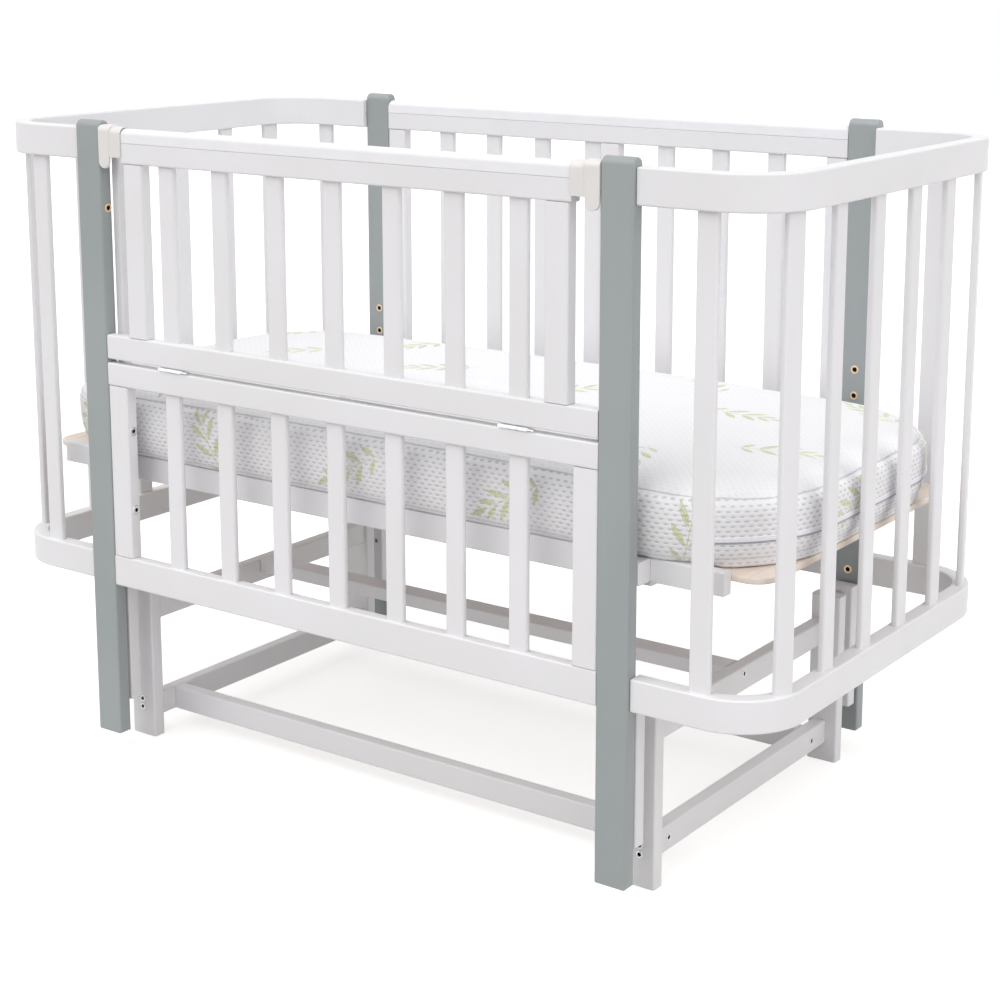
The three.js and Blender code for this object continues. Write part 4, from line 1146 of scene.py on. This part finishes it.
COVER = linear(240, 239, 241)
COVER_DASH = linear(201, 201, 206)
LEAF_PALE = linear(206, 210, 152)
LEAF_DEEP = linear(176, 184, 108)


def knit_cover(name):
    """White knit: dashes lie between puffed stitches, stronger on the side panels than on top,
    with printed sprigs broken up by the yarn."""
    material, tree, shader = new_material(name)
    place = add_node(tree, "ShaderNodeUVMap", uv_map="Cover").outputs[0]
    top = add_node(tree, "ShaderNodeAttribute", attribute_name="top_panel").outputs["Fac"]
    dashes = place_group(tree, dash_group(), Vector=place)
    sprigs = place_group(tree, sprig_group(leaf_group()), Vector=place)
    yarn = noise(tree, place, 700.0, 3.0)
    drift = noise(tree, place, 9.0)
    depth = math_node(tree, "MULTIPLY", ramp(tree, top, 0.0, 1.0, 1.0, 0.24),
                      ramp(tree, drift, 0.3, 0.7, 0.7, 1.0))
    body = blend_colours(tree, ramp(tree, yarn, 0.4, 0.65, 0.0, 0.4), COVER, linear(228, 227, 230))
    body = blend_colours(tree, math_node(tree, "MULTIPLY", dashes["Dash"], depth), body, COVER_DASH)
    speckle = ramp(tree, yarn, 0.42, 0.56)
    print_share = math_node(tree, "MULTIPLY", sprigs["Sprig"], math_node(
        tree, "ADD", 0.22, math_node(tree, "MULTIPLY", speckle, 0.68)))
    tint = blend_colours(tree, ramp(tree, drift, 0.35, 0.65), LEAF_PALE, LEAF_DEEP)
    tint = blend_colours(tree, sprigs["Vein"], tint, LEAF_DEEP)
    tree.links.new(blend_colours(tree, print_share, body, tint), shader.inputs["Base Color"])
    height = math_node(tree, "ADD", math_node(tree, "MULTIPLY", dashes["Height"], depth),
                       math_node(tree, "MULTIPLY", yarn, 0.35))
    bumped(tree, shader, height, 0.0007)
    shader.inputs["Roughness"].default_value = 0.95
    shader.inputs["Sheen Weight"].default_value = 0.12
    shader.inputs["Sheen Roughness"].default_value = 0.5
    return material


def cord_knit(name, body, shade):
    """Piping and zip tape: fine twill across the cord."""
    material, tree, shader = new_material(name)
    place = object_place(tree)
    yarn = noise(tree, place, 900.0, 3.0)
    tree.links.new(blend_colours(tree, ramp(tree, yarn, 0.35, 0.65), body, shade),
                   shader.inputs["Base Color"])
    bumped(tree, shader, yarn, 0.0003)
    shader.inputs["Roughness"].default_value = 0.9
    return material


knit = knit_cover("Knitted cover")
piping_cloth = cord_knit("Piping cloth", linear(226, 225, 228), linear(206, 205, 209))
zip_cloth = cord_knit("Zip flap cloth", linear(243, 241, 247), linear(231, 229, 237))
# The zip tape's dark colour paints the shade under the flap.
zip_tape_painted_shade = cord_knit("Zip tape with painted flap shade", linear(184, 182, 188), linear(166, 164, 170))


def build_mattress():
    piece = bpy.data.objects.new("mattress_cover", shells("mattress_cover", [mattress_form()]))
    bpy.context.scene.collection.objects.link(piece)
    remesh = piece.modifiers.new("Even mesh", "REMESH")
    remesh.mode = "VOXEL"
    remesh.voxel_size = VOXEL_SIZE
    applied(piece)
    swollen(piece, SWELL_FRAMES, SWELL_PRESSURE, SWELL_CAP)
    rounder = piece.modifiers.new("Round", "SUBSURF")
    rounder.levels = rounder.render_levels = 1
    applied(piece)
    mesh = piece.data
    normals = read_rows(mesh.vertices, "normal").astype(float)
    set_points(mesh, fitted(tailored(get_points(mesh), normals)))
    cover_uv(mesh)
    mesh.shade_smooth()
    mesh.materials.clear()
    mesh.materials.append(knit)
    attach(piece, "crib")
    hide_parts("mattress")
    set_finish(piece, "mattress_cover")
    return piece


mattress = build_mattress()


def on_cover(rise, start=0.0, stop=1.0, count=400):
    """Points on the simulated cover at a height above its underside, all round or along a share
    of its outline, and the outward directions there."""
    outer = mattress_outline(-0.03, 2000)
    share = np.linspace(start, stop, count, endpoint=stop - start < 0.999)
    ring = outer[(share * len(outer)).astype(int) % len(outer)]
    ahead = np.roll(outer, -1, axis=0) - np.roll(outer, 1, axis=0)
    ahead = ahead[(share * len(outer)).astype(int) % len(outer)]
    ahead /= np.linalg.norm(ahead, axis=1, keepdims=True)
    outward = np.column_stack([ahead[:, 1], -ahead[:, 0], np.zeros(count)])
    level = MATTRESS_FOOT + rise(ring[:, 0])
    found = []
    for place, away in zip(np.column_stack([ring, level]), outward):
        hit, point, _, _ = mattress.ray_cast(place.tolist(), (-away).tolist())
        found.append(list(point) if hit else (place - away * 0.03).tolist())
    return np.array(found), outward


def smoothed(points, passes, closed):
    """Each point moves to the mean of itself and its neighbours, a few times over."""
    for _ in range(passes):
        before, after = np.roll(points, 1, axis=0), np.roll(points, -1, axis=0)
        mean = (before + 2 * points + after) / 4
        if not closed:
            mean[0], mean[-1] = points[0], points[-1]
        points = mean
    return points


FOOT_PIPING_HEIGHT = 0.0075
# Shares of the way round the mattress at which the zip starts and ends
ZIP_RUN = (0.025, 0.208)


def piping(name, rise, radius, sunk, material):
    """Cord sewn all round: a circle carried along the cover's own outline at a height."""
    points, outward = on_cover(rise)
    points = smoothed(points, 3, True) - outward * sunk
    angles = np.linspace(0, 2 * np.pi, 8, endpoint=False)
    grid = (points[:, None, :] + radius * np.cos(angles)[None, :, None] * outward[:, None, :]
            + radius * np.sin(angles)[None, :, None] * np.array([0.0, 0.0, 1.0]))
    mesh = shells(name, [grid], ring=True)
    piece = finish_piece(name, mesh, "crib", "mattress_cover", material)
    piece.parent = mattress
    return piece


piping("mattress_top_piping", seam_height, 0.0014, 0.0006, piping_cloth)
piping("mattress_bottom_piping", lambda x: FOOT_PIPING_HEIGHT + 0 * x, 0.0016, 0.0008,
       piping_cloth)


def zip_band(name, rise, width, thick, start, stop, material):
    """Strip of the zip: thin and rounded, carried round the mattress's right end."""
    points, outward = on_cover(lambda x: rise + 0 * x, start, stop, 160)
    points = smoothed(points, 3, False) + outward * (thick * 0.2)
    ups = np.tile([0.0, 0.0, 1.0], (len(points), 1))
    grid = swept(points, outward, ups, thick, width, thick * 0.45, easing=0.0005)
    return finish_piece(name, shells(name, [grid]), "crib", "mattress_cover", material)


zip_band("mattress_zip_flap", 0.0315, 0.0060, 0.0026, *ZIP_RUN, zip_cloth)
# Dark tape just below the flap: painted shade under the flap.
zip_band("mattress_zip_tape_painted_shade", 0.0268, 0.0020, 0.0010, *ZIP_RUN, zip_tape_painted_shade)


# Studio

FLOOR_REACH = 12.0
FLOOR_COLOUR = linear(202, 200, 198)
FLOOR_LIFT = 0.62
WORLD_LOW = 0.45
WORLD_HIGH = 0.80
# Name, where it comes from, strength, and how wide it is in degrees
SUNS = [("Key", (-0.25, -0.55, 0.80), 1.46, 60), ("Fill", (0.85, -0.15, 0.50), 1.05, 70)]


def backdrop_seen(tree):
    """1 for what the camera, gloss and glass see directly, 0 for the light that falls on things."""
    path = tree.nodes.new("ShaderNodeLightPath")
    return math_node(tree, "MAXIMUM", path.outputs["Is Camera Ray"],
                     math_node(tree, "MAXIMUM", path.outputs["Is Glossy Ray"],
                               path.outputs["Is Transmission Ray"]))


def add_floor():
    mesh = bpy.data.meshes.new("studio_floor_form")
    mesh.from_pydata([(x * FLOOR_REACH, y * FLOOR_REACH, 0)
                      for x, y in ((-1, -1), (1, -1), (1, 1), (-1, 1))], [], [(0, 1, 2, 3)])
    floor = bpy.data.objects.new("studio_floor", mesh)
    bpy.context.scene.collection.objects.link(floor)
    material, tree, shader = new_material("Studio floor")
    shader.inputs["Base Color"].default_value = FLOOR_COLOUR
    shader.inputs["Roughness"].default_value = 0.9
    shader.inputs["Specular IOR Level"].default_value = 0.1
    shader.inputs["Emission Color"].default_value = (1.0, 1.0, 1.0, 1.0)
    tree.links.new(math_node(tree, "MULTIPLY", backdrop_seen(tree), FLOOR_LIFT),
                   shader.inputs["Emission Strength"])
    mesh.materials.append(material)


def add_world():
    """Even pale surroundings; what the camera, gloss and glass see of them is white."""
    world = bpy.data.worlds.new("Studio")
    world.use_nodes = True
    tree = world.node_tree
    tree.nodes.clear()
    direction = tree.nodes.new("ShaderNodeTexCoord").outputs["Generated"]
    rise = add_node(tree, "ShaderNodeSeparateXYZ", {0: direction}).outputs["Z"]
    light = ramp(tree, rise, 0.0, 1.0, WORLD_LOW, WORLD_HIGH)
    seen = backdrop_seen(tree)
    strength = math_node(tree, "ADD", math_node(tree, "MULTIPLY", light,
                                                math_node(tree, "SUBTRACT", 1.0, seen)), seen)
    backdrop = add_node(tree, "ShaderNodeBackground",
                        {"Color": (1.0, 1.0, 1.0, 1.0), "Strength": strength})
    output = tree.nodes.new("ShaderNodeOutputWorld")
    tree.links.new(backdrop.outputs[0], output.inputs["Surface"])
    bpy.context.scene.world = world


def add_sun(name, direction, strength, angle):
    data = bpy.data.lights.new(name, "SUN")
    data.energy = strength
    data.angle = math.radians(angle)
    lamp = bpy.data.objects.new(name, data)
    away = np.array(direction, float)
    yaw = math.atan2(away[1], away[0])
    dip = math.atan2(math.hypot(away[0], away[1]), away[2])
    lamp.rotation_euler = (0, dip, yaw)
    bpy.context.scene.collection.objects.link(lamp)


def add_camera():
    data = bpy.data.cameras.new("Photograph's view")
    data.lens = LENS
    data.sensor_width = SENSOR
    data.shift_y = -SHIFT_DOWN
    camera = bpy.data.objects.new("Photograph's view", data)
    camera.location = CAMERA_PLACE
    camera.rotation_euler = (math.pi / 2 - CAMERA_DIP, 0, CAMERA_TURN)
    bpy.context.scene.collection.objects.link(camera)
    bpy.context.scene.camera = camera


add_floor()
add_world()
for sun in SUNS:
    add_sun(*sun)
add_camera()
bpy.context.scene.view_settings.view_transform = "Standard"
